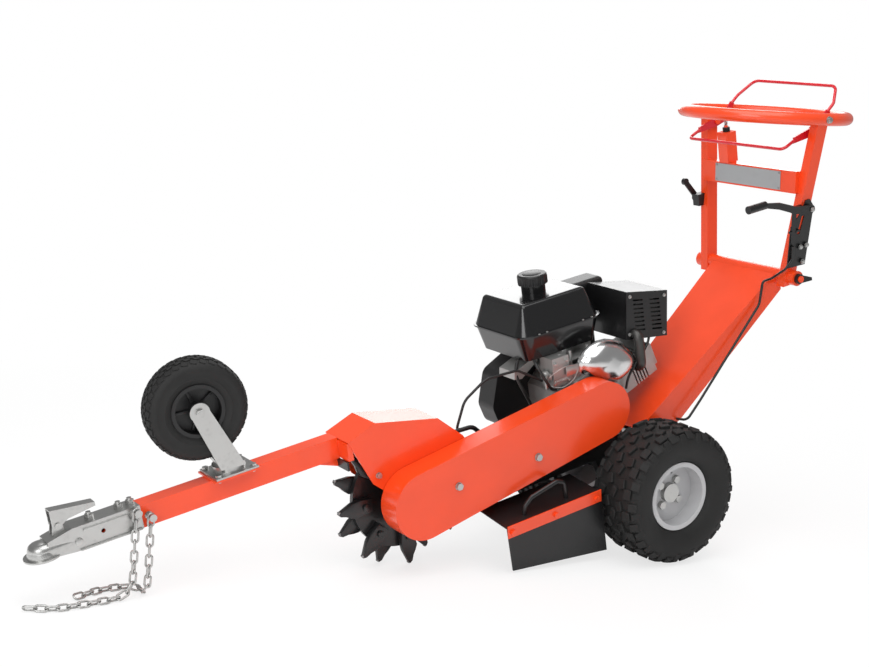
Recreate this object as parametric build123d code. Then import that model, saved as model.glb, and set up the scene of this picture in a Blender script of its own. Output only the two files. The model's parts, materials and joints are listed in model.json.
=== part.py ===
from build123d import *
import os
from math import acos, atan2, cos, degrees, hypot, radians, sin

# Towable stump grinder.  Everything is modelled level first: X runs back from the coupler to the
# operator, Y to the right-hand wheel, Z up, zero on the axle line between the wheels.  At the end
# the whole machine is tipped onto its tyres and its lowest cutter teeth, the way it is parked.

# ---- driving dimensions (mm) -----------------------------------------------------------------
RUN = 0.08                 # radial clearance of a running fit
GAP = 0.3                  # clearance between faces that pass each other

WHEEL_R = 187.0            # rear tyre
WHEEL_W = 180.0
TRACK = 400.0
RIM_FLANGE_R = 93.0
RIM_HALF = 66.0
AXLE_D = 25.0

ROTOR_X = -692.0           # cutter shaft
ROTOR_Z = 176.0
CUT_R = 190.0              # over the tooth tips
TEETH_PER_SIDE = 8
DISC_R = 140.0
DISC_T = 14.0
DISC_Y = -5.0
SHAFT_D = 30.0

CRANK_X = -112.0           # engine crankshaft
CRANK_Z = 246.0
CRANK_D = 25.4
ENGINE_BASE = 132.0        # top of the engine deck

HOUSE_Y0 = -62.0           # outer faces of the cutter housing
HOUSE_Y1 = 52.0
SHEET = 4.0                # housing sheet
COVER_R = 88.0             # belt cover radius round the cutter pulley
COVER_REAR_R = 79.0        # and round the clutch pulley, clear of the left tyre
COVER_Y0 = -135.0
COVER_Y1 = -66.0
COVER_SHEET = 2.5

BAR_W = 46.0               # tow bar tube
BAR_H = 54.0
BAR_WALL = 4.0
BAR_Y = 9.0
BAR_Z = 351.5
BAR_FRONT = -1517.0
BAR_REAR = -845.0
COUPLER_NOSE = -1643.0
COUPLER_TAIL = -1367.0
COUPLER_SHEET = 4.0
BALL_D = 50.8
BALL_X = -1600.0

CASTER_R = 123.0
CASTER_W = 78.0
CASTER_X = -1126.0
CASTER_TRAIL = 54.0
CASTER_RISE = 175.0        # wheel centre above the tow bar
CASTER_SWING = 9.0         # swivel angle at rest, degrees
CASTER_AXLE_D = 12.0

NECK_TOP = (546.0, 471.0)  # rear top corner of the neck, x and z
NECK_SLOPE = 0.637
NECK_HALF_TOP = 127.0
NECK_HALF_ZERO = 88.0      # half width at x = 0
NECK_FRONT = -8.0
NECK_SHEET = 3.0
PIVOT_X = 545.0            # cross tube that the handle tilts on
PIVOT_Z = 450.0
CROSS_D = 42.0
CROSS_HALF = 196.0

LEG_W = 28.0
LEG_D = 38.0
LEG_LEAN = 0.237           # dx / dz
LEG_SPLAY = 0.143          # dy / dz
LEG_Y0 = 162.0             # leg centre at the height below
LEG_Z0 = 478.0
LEG_X0 = 547.5             # leg centre at the same height
LEG_TOP = 873.0
RING_TUBE_R = 17.5
RING_R = 226.0             # centre line of the round grab ring
RING_AT = (651.0, 877.5)
RING_TILT = 12.4           # degrees, rear edge down
BAIL_PIVOT = (640.0, 846.0)
BAIL_Y = 188.5
BAIL_ROD_R = 4.5

BELT_W = 12.0
BELT_T = 9.0
DRIVEN_R = 58.0            # groove radius of the cutter pulley
DRIVE_R = 42.0             # groove radius of the clutch pulley
BELT_YS = (-92.0, -112.0)

LINK_PITCH = 24.5          # safety chain
LINK_WIRE = 5.5
LINK_W = 20.0

TIP_ANGLE = 360.0 / TEETH_PER_SIDE / 4

# the parked tilt: tyres and the two lowest tooth tips on one plane
_drop = CUT_R * cos(radians(TIP_ANGLE)) - WHEEL_R
_reach = hypot(ROTOR_X, ROTOR_Z)
NOSE_DOWN = degrees(acos(_drop / _reach) - atan2(-ROTOR_X, ROTOR_Z))

NODES = {}


# ---- helpers ---------------------------------------------------------------------------------
def block(x0, x1, y0, y1, z0, z1):
    return Pos((x0 + x1) / 2, (y0 + y1) / 2, (z0 + z1) / 2) * Box(abs(x1 - x0), abs(y1 - y0), abs(z1 - z0))


def rod_y(r, y0, y1, x, z):
    return Pos(x, (y0 + y1) / 2, z) * Rot(90, 0, 0) * Cylinder(r, abs(y1 - y0))


def rod_z(r, z0, z1, x, y):
    return Pos(x, y, (z0 + z1) / 2) * Cylinder(r, abs(z1 - z0))


def ring_y(r_out, r_in, y0, y1, x, z):
    return rod_y(r_out, y0, y1, x, z) - rod_y(r_in, y0 - 1, y1 + 1, x, z)


def plate_y(points, y0, y1):
    """A side profile, points as (x, z), standing between two Y planes."""
    face = make_face(Polyline([(x, y0, z) for x, z in points], close=True))
    return extrude(face, amount=y1 - y0, dir=(0, 1, 0))


def rod_between(a, b, r):
    a, b = Vector(*a), Vector(*b)
    axis = b - a
    return Plane(origin=(a + b) * 0.5, z_dir=axis) * Cylinder(r, axis.length)


def bent_rod(points, radii, r):
    path = FilletPolyline(points, radius=radii)
    start = Plane(origin=path @ 0, z_dir=path % 0)
    return sweep(start * Circle(r), path=path, transition=Transition.RIGHT)


def revolve_y(points, x, y, z):
    """A wheel section, points as (radius, offset along the axle), turned about Y at x, y, z."""
    face = make_face(Polyline([(r, 0, w) for r, w in points], close=True))
    return Pos(x, y, z) * Rot(90, 0, 0) * revolve(face, axis=Axis.Z)


def hex_bolt_y(x, y, z, side, across=17.0, head=6.5, shank=4.0, length=20.0):
    """A hexagon bolt along Y with its head on the side given by side (-1 or 1)."""
    hexagon = Rot(90, 0, 0) * extrude(RegularPolygon(across / 2, 6, major_radius=False), head / 2, both=True)
    washer = rod_y(across * 0.62, y, y + side * 1.6, x, z)
    return Pos(x, y + side * (1.6 + head / 2), z) * hexagon + washer + rod_y(shank, y, y - side * length, x, z)


def bolt_z(x, y, z, r=6.0, head=6.0, shank=3.0, length=20.0, up=1):
    top = extrude(RegularPolygon(r, 6, major_radius=False), head)
    top = Pos(x, y, z) * (top if up > 0 else mirror(top, Plane.XY))
    return top + rod_z(shank, z, z - up * length, x, y)


def add(name, *solids):
    NODES[name] = list(solids)


def neck_z(x):
    return NECK_TOP[1] + (x - NECK_TOP[0]) * NECK_SLOPE


def neck_half(x):
    return NECK_HALF_ZERO + (x / NECK_TOP[0]) * (NECK_HALF_TOP - NECK_HALF_ZERO)


# ---- main frame, axle and neck ---------------------------------------------------------------
RAIL_Y = (30.0, 56.0)
RAIL_TOP = ENGINE_BASE - 6.0
RAIL_LOW = RAIL_TOP - 44.0
HOUSE_REAR = -486.0
FRAME_REAR = 150.0


def main_frame():
    deck = block(-235, 60, -58, 104, RAIL_TOP, ENGINE_BASE)
    frame = deck
    for side in (-1, 1):
        y0, y1 = side * RAIL_Y[0], side * RAIL_Y[1]
        frame += block(HOUSE_REAR + 0.5, FRAME_REAR, y0, y1, RAIL_LOW, RAIL_TOP)
        frame += plate_y([(-60, RAIL_LOW), (-24, -24), (24, -24), (60, RAIL_LOW)], min(y0, y1), max(y0, y1))
    for x in (HOUSE_REAR + 30, -270, 100):
        frame += block(x, x + 30, -RAIL_Y[0], RAIL_Y[0], RAIL_LOW + 6, RAIL_TOP - 6)
    for x in (-181, -19):
        for y in (-20, 86):
            frame -= rod_z(4.5, RAIL_TOP - 60, ENGINE_BASE + 1, x, y)
    return frame


add("main_frame", main_frame())

AXLE_END = TRACK / 2 + RIM_HALF - 34.0
NODES["main_frame"] = [NODES["main_frame"][0] + rod_y(AXLE_D / 2, -AXLE_END, AXLE_END, 0, 0)]


def neck_beam():
    """Open-bottomed folded beam that widens from the engine deck up to the cross tube."""
    rear = NECK_TOP[0]

    def shell(inset, front, back):
        def section(x, low):
            half = neck_half(x) - inset
            top = neck_z(x) - inset * 1.18
            return Polyline([(x, -half, low), (x, half, low), (x, half, top), (x, -half, top)], close=True)
        low_f = 60.0 - inset * 9
        low_m = 101.0 - inset * 9
        low_r = 408.0 - inset * 9
        a = make_face(section(front, low_f if front < 0 else low_m))
        mid = make_face(section(163.0, low_m + 25.0))
        b = make_face(section(back, low_r))
        return loft([a, mid], ruled=True) + loft([mid, b], ruled=True)

    outer = shell(0.0, NECK_FRONT, rear)
    inner = shell(NECK_SHEET, NECK_FRONT - 1.0, rear - NECK_SHEET)
    beam = outer - inner
    beam -= rod_y(CROSS_D / 2 + RUN, -CROSS_HALF, CROSS_HALF, PIVOT_X, PIVOT_Z)
    # clear of the rails, the axle and the engine deck
    for side in (-1, 1):
        beam -= block(-40, FRAME_REAR + 1, side * (RAIL_Y[0] - 1), side * (RAIL_Y[1] + 1), -40, RAIL_TOP + 1)
    beam -= block(-40, 61, -70, 105, 55, ENGINE_BASE + 6)
    beam -= block(-40, 140, -200, 200, -60, 64)
    return beam


def neck_root():
    """Web under the neck that ties it to the rails."""
    return block(62, 74, -RAIL_Y[0], RAIL_Y[0], RAIL_TOP - 20, neck_z(62) - NECK_SHEET * 1.2)


NECK = neck_beam()
add("neck_beam", NECK)
NODES["main_frame"] = [NODES["main_frame"][0] + neck_root()]


# ---- cutter housing --------------------------------------------------------------------------
HOUSE_PROFILE = [(-842, 375), (-760, 401), (-583, 358), (-516, 290), (HOUSE_REAR, 225),
                 (HOUSE_REAR, 95), (-640, 95), (-760, 130), (-764, 223), (-789, 247)]
FRONT_SLOPE = (401.0 - 375.0) / (842.0 - 760.0)


HOUSE_BOLTS = ((-760, 245, 1), (-520, 130, 1), (-520, 215, 1), (-772, 266, -1))


def cutter_housing():
    outer = plate_y(HOUSE_PROFILE, HOUSE_Y0, HOUSE_Y1)
    lip = 375 - SHEET * 1.05 - (950 - 842) * FRONT_SLOPE
    hollow = plate_y([(-950, lip), (-760, 401 - SHEET * 1.03), (-586, 358 - SHEET), (-520, 288),
                      (HOUSE_REAR - SHEET, 223), (HOUSE_REAR - SHEET, 40), (-950, 40)],
                     HOUSE_Y0 + SHEET, HOUSE_Y1 - SHEET)
    shell = outer - hollow
    shell -= rod_y(SHAFT_D / 2 + 3, -80, 80, ROTOR_X, ROTOR_Z)
    for x, z, side in HOUSE_BOLTS:
        shell -= rod_y(3.5, side * 30, side * 90, x, z)
    end_plate = block(BAR_REAR, BAR_REAR + 14, HOUSE_Y0 + 2, HOUSE_Y1 - 2, 326, 371)
    return shell + end_plate


add("cutter_housing", cutter_housing())
add("front_flap", block(BAR_REAR - 5, BAR_REAR - 0.3, HOUSE_Y0 + SHEET + 1, HOUSE_Y1 - SHEET - 1, 301, 324.2))

BEARING_T = 12.0


def flange_bearing(y, side):
    plate = rod_y(42, y, y + side * 6, ROTOR_X, ROTOR_Z)
    hub = rod_y(27, y, y + side * BEARING_T, ROTOR_X, ROTOR_Z)
    return plate + hub - rod_y(SHAFT_D / 2 + RUN, y - side * 2, y + side * 30, ROTOR_X, ROTOR_Z)


add("rotor_bearings", flange_bearing(HOUSE_Y0, -1), flange_bearing(HOUSE_Y1, 1))


def outward_bolt(x, z, side):
    y = HOUSE_Y0 if side < 0 else HOUSE_Y1
    return hex_bolt_y(x, y, z, side, across=13.0, head=5.0, shank=3.5, length=3.9)


add("frame_bolts", *[outward_bolt(x, z, side) for x, z, side in HOUSE_BOLTS])


# ---- cutter ----------------------------------------------------------------------------------
def tooth(angle, side):
    """A forged cutter tooth: a block clamped to the disc face and a finger out to the tip."""
    outline = [(96, -17), (150, -17), (CUT_R, 0), (CUT_R - 12, 13), (CUT_R - 38, 18), (96, 17)]
    y0 = DISC_Y + side * DISC_T / 2
    y1 = y0 + side * 20.0
    body = plate_y(outline, min(y0, y1), max(y0, y1))
    return Pos(ROTOR_X, 0, ROTOR_Z) * Rot(0, angle, 0) * body


TEETH = []
for i in range(TEETH_PER_SIDE):
    for side in (-1, 1):
        down = 90.0 + NOSE_DOWN
        TEETH.append(tooth(down + side * TIP_ANGLE + i * 360.0 / TEETH_PER_SIDE, side))
DISC = rod_y(DISC_R, DISC_Y - DISC_T / 2, DISC_Y + DISC_T / 2, ROTOR_X, ROTOR_Z)
HUB = rod_y(36, DISC_Y - 26, DISC_Y + 26, ROTOR_X, ROTOR_Z)
BORE = rod_y(SHAFT_D / 2, -140, 90, ROTOR_X, ROTOR_Z)
add("cutter_disc", DISC + HUB - BORE)
add("cutter_teeth", *TEETH)
add("cutter_shaft", rod_y(SHAFT_D / 2, BELT_YS[1] - 15, HOUSE_Y1 + 22, ROTOR_X, ROTOR_Z))


# ---- belt drive ------------------------------------------------------------------------------
def vee_pulley(groove_r, bore_r, x, z):
    y_far = BELT_YS[0] + BELT_W / 2 + 5
    y_near = BELT_YS[1] - BELT_W / 2 - 5
    wheel = rod_y(groove_r + BELT_T + 1, y_near, y_far, x, z)
    for y in BELT_YS:
        half = BELT_W / 2 + GAP
        wheel -= ring_y(groove_r + BELT_T + 5, groove_r, y - half, y + half, x, z)
    return wheel - rod_y(bore_r, y_near - 1, y_far + 1, x, z)


def belt(y):
    def loop(grow):
        a = Pos(ROTOR_X, ROTOR_Z) * CenterArc((0, 0), DRIVEN_R + GAP + grow, 0, 360)
        b = Pos(CRANK_X, CRANK_Z) * CenterArc((0, 0), DRIVE_R + GAP + grow, 0, 360)
        return make_face(make_hull(Curve([a.edge(), b.edge()]).edges()))
    flat = extrude(loop(BELT_T), BELT_W) - extrude(loop(0.0), BELT_W)
    return Pos(0, y + BELT_W / 2, 0) * Rot(90, 0, 0) * flat


add("cutter_pulley", vee_pulley(DRIVEN_R, SHAFT_D / 2, ROTOR_X, ROTOR_Z))
add("clutch_pulley", vee_pulley(DRIVE_R, CRANK_D / 2, CRANK_X, CRANK_Z))
add("drive_belts", *[belt(y) for y in BELT_YS])


def stadium(inset, y0, y1):
    a = Pos(ROTOR_X, ROTOR_Z) * CenterArc((0, 0), COVER_R - inset, 0, 360)
    b = Pos(CRANK_X, CRANK_Z) * CenterArc((0, 0), COVER_REAR_R - inset, 0, 360)
    flat = make_face(make_hull(Curve([a.edge(), b.edge()]).edges()))
    return Pos(0, y1, 0) * Rot(90, 0, 0) * extrude(flat, y1 - y0)


COVER_BOLTS = ((-592.0, 196.0), (-345.0, 193.0))
COVER_BACK_T = 2.5
cover = stadium(0, COVER_Y0, COVER_Y1 + COVER_BACK_T)
cover -= stadium(COVER_SHEET, COVER_Y0 + COVER_SHEET, COVER_Y1 + COVER_BACK_T + 1)
back = stadium(COVER_SHEET, COVER_Y1, COVER_Y1 + COVER_BACK_T)
back -= rod_y(46, -80, -50, ROTOR_X, ROTOR_Z)
back -= rod_y(30, -80, -50, CRANK_X, CRANK_Z)
for bx, bz in COVER_BOLTS:
    cover -= rod_y(4.0, COVER_Y0 - 1, COVER_Y0 + 5, bx, bz)
    back -= rod_y(4.0, COVER_Y1 - 1, COVER_Y1 + 5, bx, bz)
add("belt_cover", cover)
add("cover_backplate", back)
NODES["frame_bolts"] += [hex_bolt_y(x, COVER_Y0, z, -1, length=COVER_Y1 + COVER_BACK_T - COVER_Y0)
                         for x, z in COVER_BOLTS]


# ---- tow bar and ball coupler ----------------------------------------------------------------
BAR_LOW = BAR_Z - BAR_H / 2
BAR_TOP = BAR_Z + BAR_H / 2
CLAMP_XS = (-1479.0, -1408.0, -1380.0)
CHAIN_X = (-1382.0, -1350.0)
CHAIN_STUD_Z = 374.0       # stud welded to the coupler for the first chain


def around_bar(half, x0, x1, z0, z1):
    return block(x0, x1, BAR_Y - half, BAR_Y + half, z0, z1)


HITCH_PIN_R = 5.25
HITCH_PIN_AT = (-1461.0, 353.0)
HITCH_PIN = rod_y(HITCH_PIN_R, BAR_Y - 60, BAR_Y + 60, *HITCH_PIN_AT)


def tow_bar():
    tube = around_bar(BAR_W / 2, BAR_FRONT, BAR_REAR, BAR_LOW, BAR_TOP) - HITCH_PIN
    tube -= around_bar(BAR_W / 2 - BAR_WALL, BAR_FRONT - 1, BAR_REAR + 1, BAR_LOW + BAR_WALL, BAR_TOP - BAR_WALL)
    gusset = [(-905, BAR_LOW), (BAR_REAR - 6, BAR_LOW), (BAR_REAR - 6, 303)]
    tube += plate_y(gusset, BAR_Y - 18, BAR_Y + 18)
    for x in CLAMP_XS:
        tube -= rod_z(6.3, BAR_LOW - 5, BAR_TOP + 5, x, BAR_Y)
    return tube - rod_y(6.3, BAR_Y - 40, BAR_Y + 40, CHAIN_X[1], BAR_Z)


add("tow_bar", tow_bar())

SOCKET_Z = 335.0
SOCKET_R = BALL_D / 2 + 0.3
LATCH_PIN = (-1556.0, BAR_TOP + 16.5)
COUPLER_HALF = BAR_W / 2 + COUPLER_SHEET + 0.4


def coupler_nose():
    """Pressed nose that runs from the channel round the ball socket."""
    round_end = Pos(BALL_X, BAR_Y) * CenterArc((0, 0), 31, 0, 360)
    square_end = Pos(-1540, BAR_Y) * Rectangle(20, 2 * COUPLER_HALF)
    flat = make_face(make_hull(Curve([round_end.edge(), *square_end.edges()]).edges()))
    nose = Pos(0, 0, SOCKET_Z - 4) * extrude(flat, 34)
    return fillet(nose.edges().group_by(Axis.Z)[-1], 16)


def coupler_body():
    top = BAR_TOP + COUPLER_SHEET
    outline = [(COUPLER_TAIL, BAR_LOW), (COUPLER_TAIL, top), (-1530, top), (-1590, 369), (-1590, 331), (-1520, BAR_LOW)]
    body = plate_y(outline, BAR_Y - COUPLER_HALF, BAR_Y + COUPLER_HALF)
    body += coupler_nose() + Pos(BALL_X, BAR_Y, SOCKET_Z) * (Sphere(34) - Pos(0, 0, -40) * Box(90, 90, 80))
    body += rod_z(43, SOCKET_Z - 4, SOCKET_Z, BALL_X, BAR_Y)
    body += rod_z(34, SOCKET_Z - 4, SOCKET_Z + 1, BALL_X, BAR_Y)
    body -= around_bar(BAR_W / 2 + 0.4, -1535, COUPLER_TAIL + 1, BAR_LOW - 5, BAR_TOP)
    body -= Pos(BALL_X, BAR_Y, SOCKET_Z) * Sphere(SOCKET_R)
    body -= rod_z(SOCKET_R, SOCKET_Z - 20, SOCKET_Z, BALL_X, BAR_Y)
    for side in (-1, 1):
        y0, y1 = BAR_Y + side * 8, BAR_Y + side * 11
        ear = plate_y([(-1572, top - 8), (-1540, top - 8), (-1546, top + 18), (-1566, top + 18)], min(y0, y1), max(y0, y1))
        body += ear
    body -= rod_y(4.0, BAR_Y - 30, BAR_Y + 30, *LATCH_PIN)
    for x in CLAMP_XS:
        body -= rod_z(6.3, BAR_TOP - 5, top + 5, x, BAR_Y)
    side = BAR_Y - COUPLER_HALF
    body += rod_y(4.0, side - 26, side + 1, CHAIN_X[0], CHAIN_STUD_Z)
    body += rod_y(9.0, side - 28, side - 25, CHAIN_X[0], CHAIN_STUD_Z)
    return body - HITCH_PIN


add("coupler_body", coupler_body())


def coupler_latch():
    """Pressed lever over the two ears, turning on its pin."""
    cheek = [(-1568, 395), (-1568, 434), (-1463, 421), (-1463, 412), (-1530, 403), (-1545, 394)]
    lever = plate_y(cheek, BAR_Y - 14.3, BAR_Y + 14.3) + rod_y(11.5, BAR_Y - 14.3, BAR_Y + 14.3, *LATCH_PIN)
    lever -= plate_y([(-1600, 370), (-1600, 431.5), (-1568, 431.5), (-1455, 417.5), (-1455, 370)],
                     BAR_Y - 11.3, BAR_Y + 11.3)
    return lever - rod_y(4.0 + RUN, BAR_Y - 30, BAR_Y + 30, *LATCH_PIN)


add("coupler_latch", coupler_latch())


def latch_pin():
    pin = rod_y(4.0, BAR_Y - 18, BAR_Y + 18, *LATCH_PIN)
    for side in (-1, 1):
        pin += rod_y(7.0, BAR_Y + side * 14.7, BAR_Y + side * 18, *LATCH_PIN)
    return pin


def clamp_bolt(x):
    """Bolt up through the tow bar and the coupler, nut on top."""
    top = BAR_TOP + COUPLER_SHEET
    bolt = rod_z(6.0, BAR_LOW - 1, top + 16, x, BAR_Y)
    bolt += bolt_z(x, BAR_Y, BAR_LOW, r=9.5, head=8, shank=6, length=4, up=-1)
    return bolt + bolt_z(x, BAR_Y, top, r=9.5, head=10, shank=6, length=4)


def chain_bolt():
    y = BAR_Y - BAR_W / 2
    bolt = rod_y(4.0, y - 27, BAR_Y + BAR_W / 2 + 8, CHAIN_X[1], BAR_Z)
    bolt += rod_y(9.0, y - 31, y - 26, CHAIN_X[1], BAR_Z)
    bolt += rod_y(9.0, BAR_Y + BAR_W / 2, BAR_Y + BAR_W / 2 + 6, CHAIN_X[1], BAR_Z)
    return bolt + rod_y(9.0, y - 3, y, CHAIN_X[1], BAR_Z)


add("tow_bolts", *[clamp_bolt(x) for x in CLAMP_XS], chain_bolt(), latch_pin())


# ---- safety chains, laid out in the parked position and brought back to the level frame ------
def parked(x, z):
    t = radians(NOSE_DOWN)
    return x * cos(t) - z * sin(t), x * sin(t) + z * cos(t) + WHEEL_R


def chain_link():
    half = (LINK_W - LINK_WIRE) / 2
    run = LINK_PITCH + LINK_WIRE - 2 * half
    loop = SlotOverall(run + 2 * half, 2 * half).wires()[0]
    start = Plane(origin=loop @ 0, z_dir=loop % 0)
    return sweep(start * Circle(LINK_WIRE / 2 - 0.15), path=loop)


LINK = chain_link()


def chain(points, radii):
    path = FilletPolyline(points, radius=radii)
    count = int(path.length / LINK_PITCH)
    side = Vector(0, 1, 0)
    links = []
    for i in range(count):
        a = path.position_at(i * LINK_PITCH, position_mode=PositionMode.LENGTH)
        b = path.position_at((i + 1) * LINK_PITCH, position_mode=PositionMode.LENGTH)
        along = (b - a).normalized()
        side = (side - along * side.dot(along)).normalized()
        plane = Plane(origin=(a + b) * 0.5, x_dir=along, z_dir=side)
        turn = 90.0 * (i % 2) + min(45.0, 9.0 * i)
        links.append(plane.location * Rot(turn, 0, 0) * LINK)
    return links


FLOOR_Z = LINK_W / 2 * 0.71 + LINK_WIRE / 2 - 1.4
stud_x, stud_z = parked(CHAIN_X[0], CHAIN_STUD_Z)
bolt_x, bolt_z0 = parked(CHAIN_X[1], BAR_Z)
CHAIN_Y = BAR_Y - COUPLER_HALF - 12.0
CHAIN_A = chain([(stud_x, CHAIN_Y, stud_z + 4.3), (stud_x, CHAIN_Y, FLOOR_Z), (stud_x - 110, -44, FLOOR_Z),
                 (stud_x - 190, -50, FLOOR_Z), (stud_x - 262, -16, FLOOR_Z)], [42, 60, 60])
CHAIN_B = chain([(bolt_x, CHAIN_Y, bolt_z0 + 4.3), (bolt_x, CHAIN_Y, FLOOR_Z), (bolt_x - 6, 40, FLOOR_Z),
                 (bolt_x - 90, 32, FLOOR_Z), (bolt_x - 160, 6, FLOOR_Z)], [30, 30, 60])
LEVEL_AGAIN = Rot(0, NOSE_DOWN, 0) * Pos(0, 0, -WHEEL_R)
add("safety_chains", *[LEVEL_AGAIN * link for link in CHAIN_A + CHAIN_B])


# ---- jockey wheel on top of the tow bar ------------------------------------------------------
PLATE_Z = BAR_TOP + 4.0
RACE_Z = PLATE_Z + 5.0
CROWN_Z = RACE_Z + 15.0
WHEEL_Z = BAR_TOP + CASTER_RISE
KING_R = 9.0


def caster_at(*solids):
    return [Pos(CASTER_X, BAR_Y, 0) * Rot(0, 0, -CASTER_SWING) * s for s in solids]


def mounting_plate():
    plate = block(-55.5, 55.5, -48.5, 48.5, PLATE_Z, RACE_Z)
    plate += rod_z(38, RACE_Z, RACE_Z + 8, 0, 0)
    plate += rod_z(KING_R, RACE_Z, CROWN_Z + 18, 0, 0)
    return Pos(CASTER_X, BAR_Y, 0) * (plate + rod_z(15, CROWN_Z + 10 + GAP, CROWN_Z + 20, 0, 0))


def adapter():
    base = block(CASTER_X - 60, CASTER_X + 60, BAR_Y - 50, BAR_Y + 50, BAR_TOP, PLATE_Z)
    return base


BOLT_AT = [(CASTER_X + sx * 45, BAR_Y + sy * 38) for sx in (-1, 1) for sy in (-1, 1)]
plate, base = mounting_plate(), adapter()
for x, y in BOLT_AT:
    hole = rod_z(4.0, BAR_TOP - 1, RACE_Z + 1, x, y)
    plate -= hole
    base -= hole
add("caster_plate", plate)
NODES["tow_bar"] = [NODES["tow_bar"][0] + base]
NODES["tow_bolts"] += [bolt_z(x, y, RACE_Z, r=7, head=6, shank=4, length=14) for x, y in BOLT_AT]

FORK_Y = 42.0
FORK_T = 5.0


def caster_fork():
    fork = block(-30, 30, -FORK_Y - FORK_T, FORK_Y + FORK_T, CROWN_Z, CROWN_Z + 10)
    fork += rod_z(40, RACE_Z + 8 + GAP, CROWN_Z, 0, 0)
    leg = [(-30, CROWN_Z), (30, CROWN_Z), (-CASTER_TRAIL + 24, WHEEL_Z), (-CASTER_TRAIL - 24, WHEEL_Z)]
    for side in (-1, 1):
        y0, y1 = sorted((side * FORK_Y, side * (FORK_Y + FORK_T)))
        fork += plate_y(leg, y0, y1) + rod_y(24, y0, y1, -CASTER_TRAIL, WHEEL_Z)
    fork -= rod_z(KING_R + RUN, RACE_Z, CROWN_Z + 30, 0, 0)
    return fork - rod_y(CASTER_AXLE_D / 2, -60, 60, -CASTER_TRAIL, WHEEL_Z)


def caster_axle():
    axle = rod_y(CASTER_AXLE_D / 2, -56, 60, -CASTER_TRAIL, WHEEL_Z)
    nut = Rot(90, 0, 0) * extrude(RegularPolygon(9.5, 6, major_radius=False), 4, both=True)
    return axle + Pos(-CASTER_TRAIL, -51, WHEEL_Z) * nut + Pos(-CASTER_TRAIL, 51, WHEEL_Z) * nut


def caster_tyre():
    r, w = CASTER_R, CASTER_W / 2
    section = [(60, -31), (66.5, -31), (72, -w + 5), (84, -w), (104, -w), (r - 6, -w + 6), (r, -w + 16),
               (r, w - 16), (r - 6, w - 6), (104, w), (84, w), (72, w - 5), (66.5, 31), (60, 31)]
    return revolve_y(section, -CASTER_TRAIL, 0, WHEEL_Z)


def caster_rim():
    bore = CASTER_AXLE_D / 2 + RUN
    section = [(bore, -40), (17, -40), (17, -8), (55, -8), (55, -34), (64, -34), (64, -31), (60, -31),
               (60, 31), (64, 31), (64, 34), (55, 34), (55, 8), (17, 8), (17, 40), (bore, 40)]
    return revolve_y(section, -CASTER_TRAIL, 0, WHEEL_Z)


add("caster_fork", *caster_at(caster_fork(), caster_axle()))
add("caster_tyre", *caster_at(caster_tyre()))
add("caster_rim", *caster_at(caster_rim()))


# ---- rear wheels -----------------------------------------------------------------------------
HUB_FACE = 20.0            # rim disc face outward of the wheel centre
LUG_PCD = 80.0


def tyre_section():
    r, w = WHEEL_R, WHEEL_W / 2
    f = RIM_HALF - 4.3
    bead = RIM_FLANGE_R - 9.0
    half = [(bead, f), (RIM_FLANGE_R + 2, f), (RIM_FLANGE_R + 9, f + 12), (RIM_FLANGE_R + 27, w - 4), (142, w),
            (166, w - 3), (r - 7, w - 8), (r, w - 20)]
    inner = [(r - 12, w - 26), (165, w - 13), (142, w - 11), (RIM_FLANGE_R + 25, w - 17),
             (RIM_FLANGE_R + 5, w - 32), (bead, f - 13)]
    ring = half + [(a, -b) for a, b in reversed(half)]
    ring += [(a, -b) for a, b in reversed(inner)] + inner
    return ring


def rim_section(side):
    h, f = RIM_HALF, RIM_FLANGE_R
    inner, outer = f - 13.0, f - 9.0
    a, b = side * -HUB_FACE, side * -(HUB_FACE - 4.0)
    lo, hi = min(a, b), max(a, b)
    return [(26, lo), (inner, lo), (inner, -h), (f, -h), (f, -h + 4), (outer, -h + 4), (outer, h - 4), (f, h - 4),
            (f, h), (inner, h), (inner, hi), (26, hi)]


def rear_wheel(side, name):
    """side is -1 for the left wheel and 1 for the right one."""
    cy = side * TRACK / 2
    rim = revolve_y(rim_section(side), 0, cy, 0)
    lugs = []
    flange_y = cy + side * (HUB_FACE - 4)
    hub = rod_y(52, flange_y, flange_y - side * 6, 0, 0) + rod_y(25.7, cy - side * 50, cy + side * 34, 0, 0)
    hub -= rod_y(AXLE_D / 2 + RUN, cy - side * 51, side * (AXLE_END + 0.5), 0, 0)
    for i in range(4):
        t = radians(45 + 90 * i)
        x, z = LUG_PCD / 2 * cos(t), LUG_PCD / 2 * sin(t)
        rim -= rod_y(6.0, cy - 80, cy + 80, x, z)
        hub -= rod_y(6.0, cy - 80, cy + 80, x, z)
        lugs.append(hex_bolt_y(x, cy + side * HUB_FACE, z, side, across=19, head=8, shank=6, length=10))
    add(name + "_tyre", revolve_y(tyre_section(), 0, cy, 0))
    add(name + "_rim", rim)
    add(name + "_hub", hub, *lugs)


rear_wheel(-1, "left")
rear_wheel(1, "right")


# ---- handle: two splayed legs, crossbar and grab ring, tilting on the cross tube ---------------
LEG_LOW = PIVOT_Z - 22.0


def leg_x(z):
    return LEG_X0 + (z - LEG_Z0) * LEG_LEAN


def leg_y(z):
    return LEG_Y0 + (z - LEG_Z0) * LEG_SPLAY


def leg(side, shrink=0.0):
    """A slanted rectangular tube, cut level at both ends."""
    w, d = LEG_W / 2 - shrink, LEG_D / 2 - shrink
    x, y = leg_x(LEG_LOW), side * leg_y(LEG_LOW)
    foot = make_face(Polyline([(x - d, y - w, LEG_LOW), (x + d, y - w, LEG_LOW), (x + d, y + w, LEG_LOW),
                               (x - d, y + w, LEG_LOW)], close=True))
    slant = Vector(LEG_LEAN, side * LEG_SPLAY, 1)
    return extrude(foot, amount=(LEG_TOP - LEG_LOW) * slant.length, dir=slant)


def grab_ring():
    return Pos(RING_AT[0], 0, RING_AT[1]) * Rot(0, RING_TILT, 0) * Torus(RING_R, RING_TUBE_R)


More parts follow.
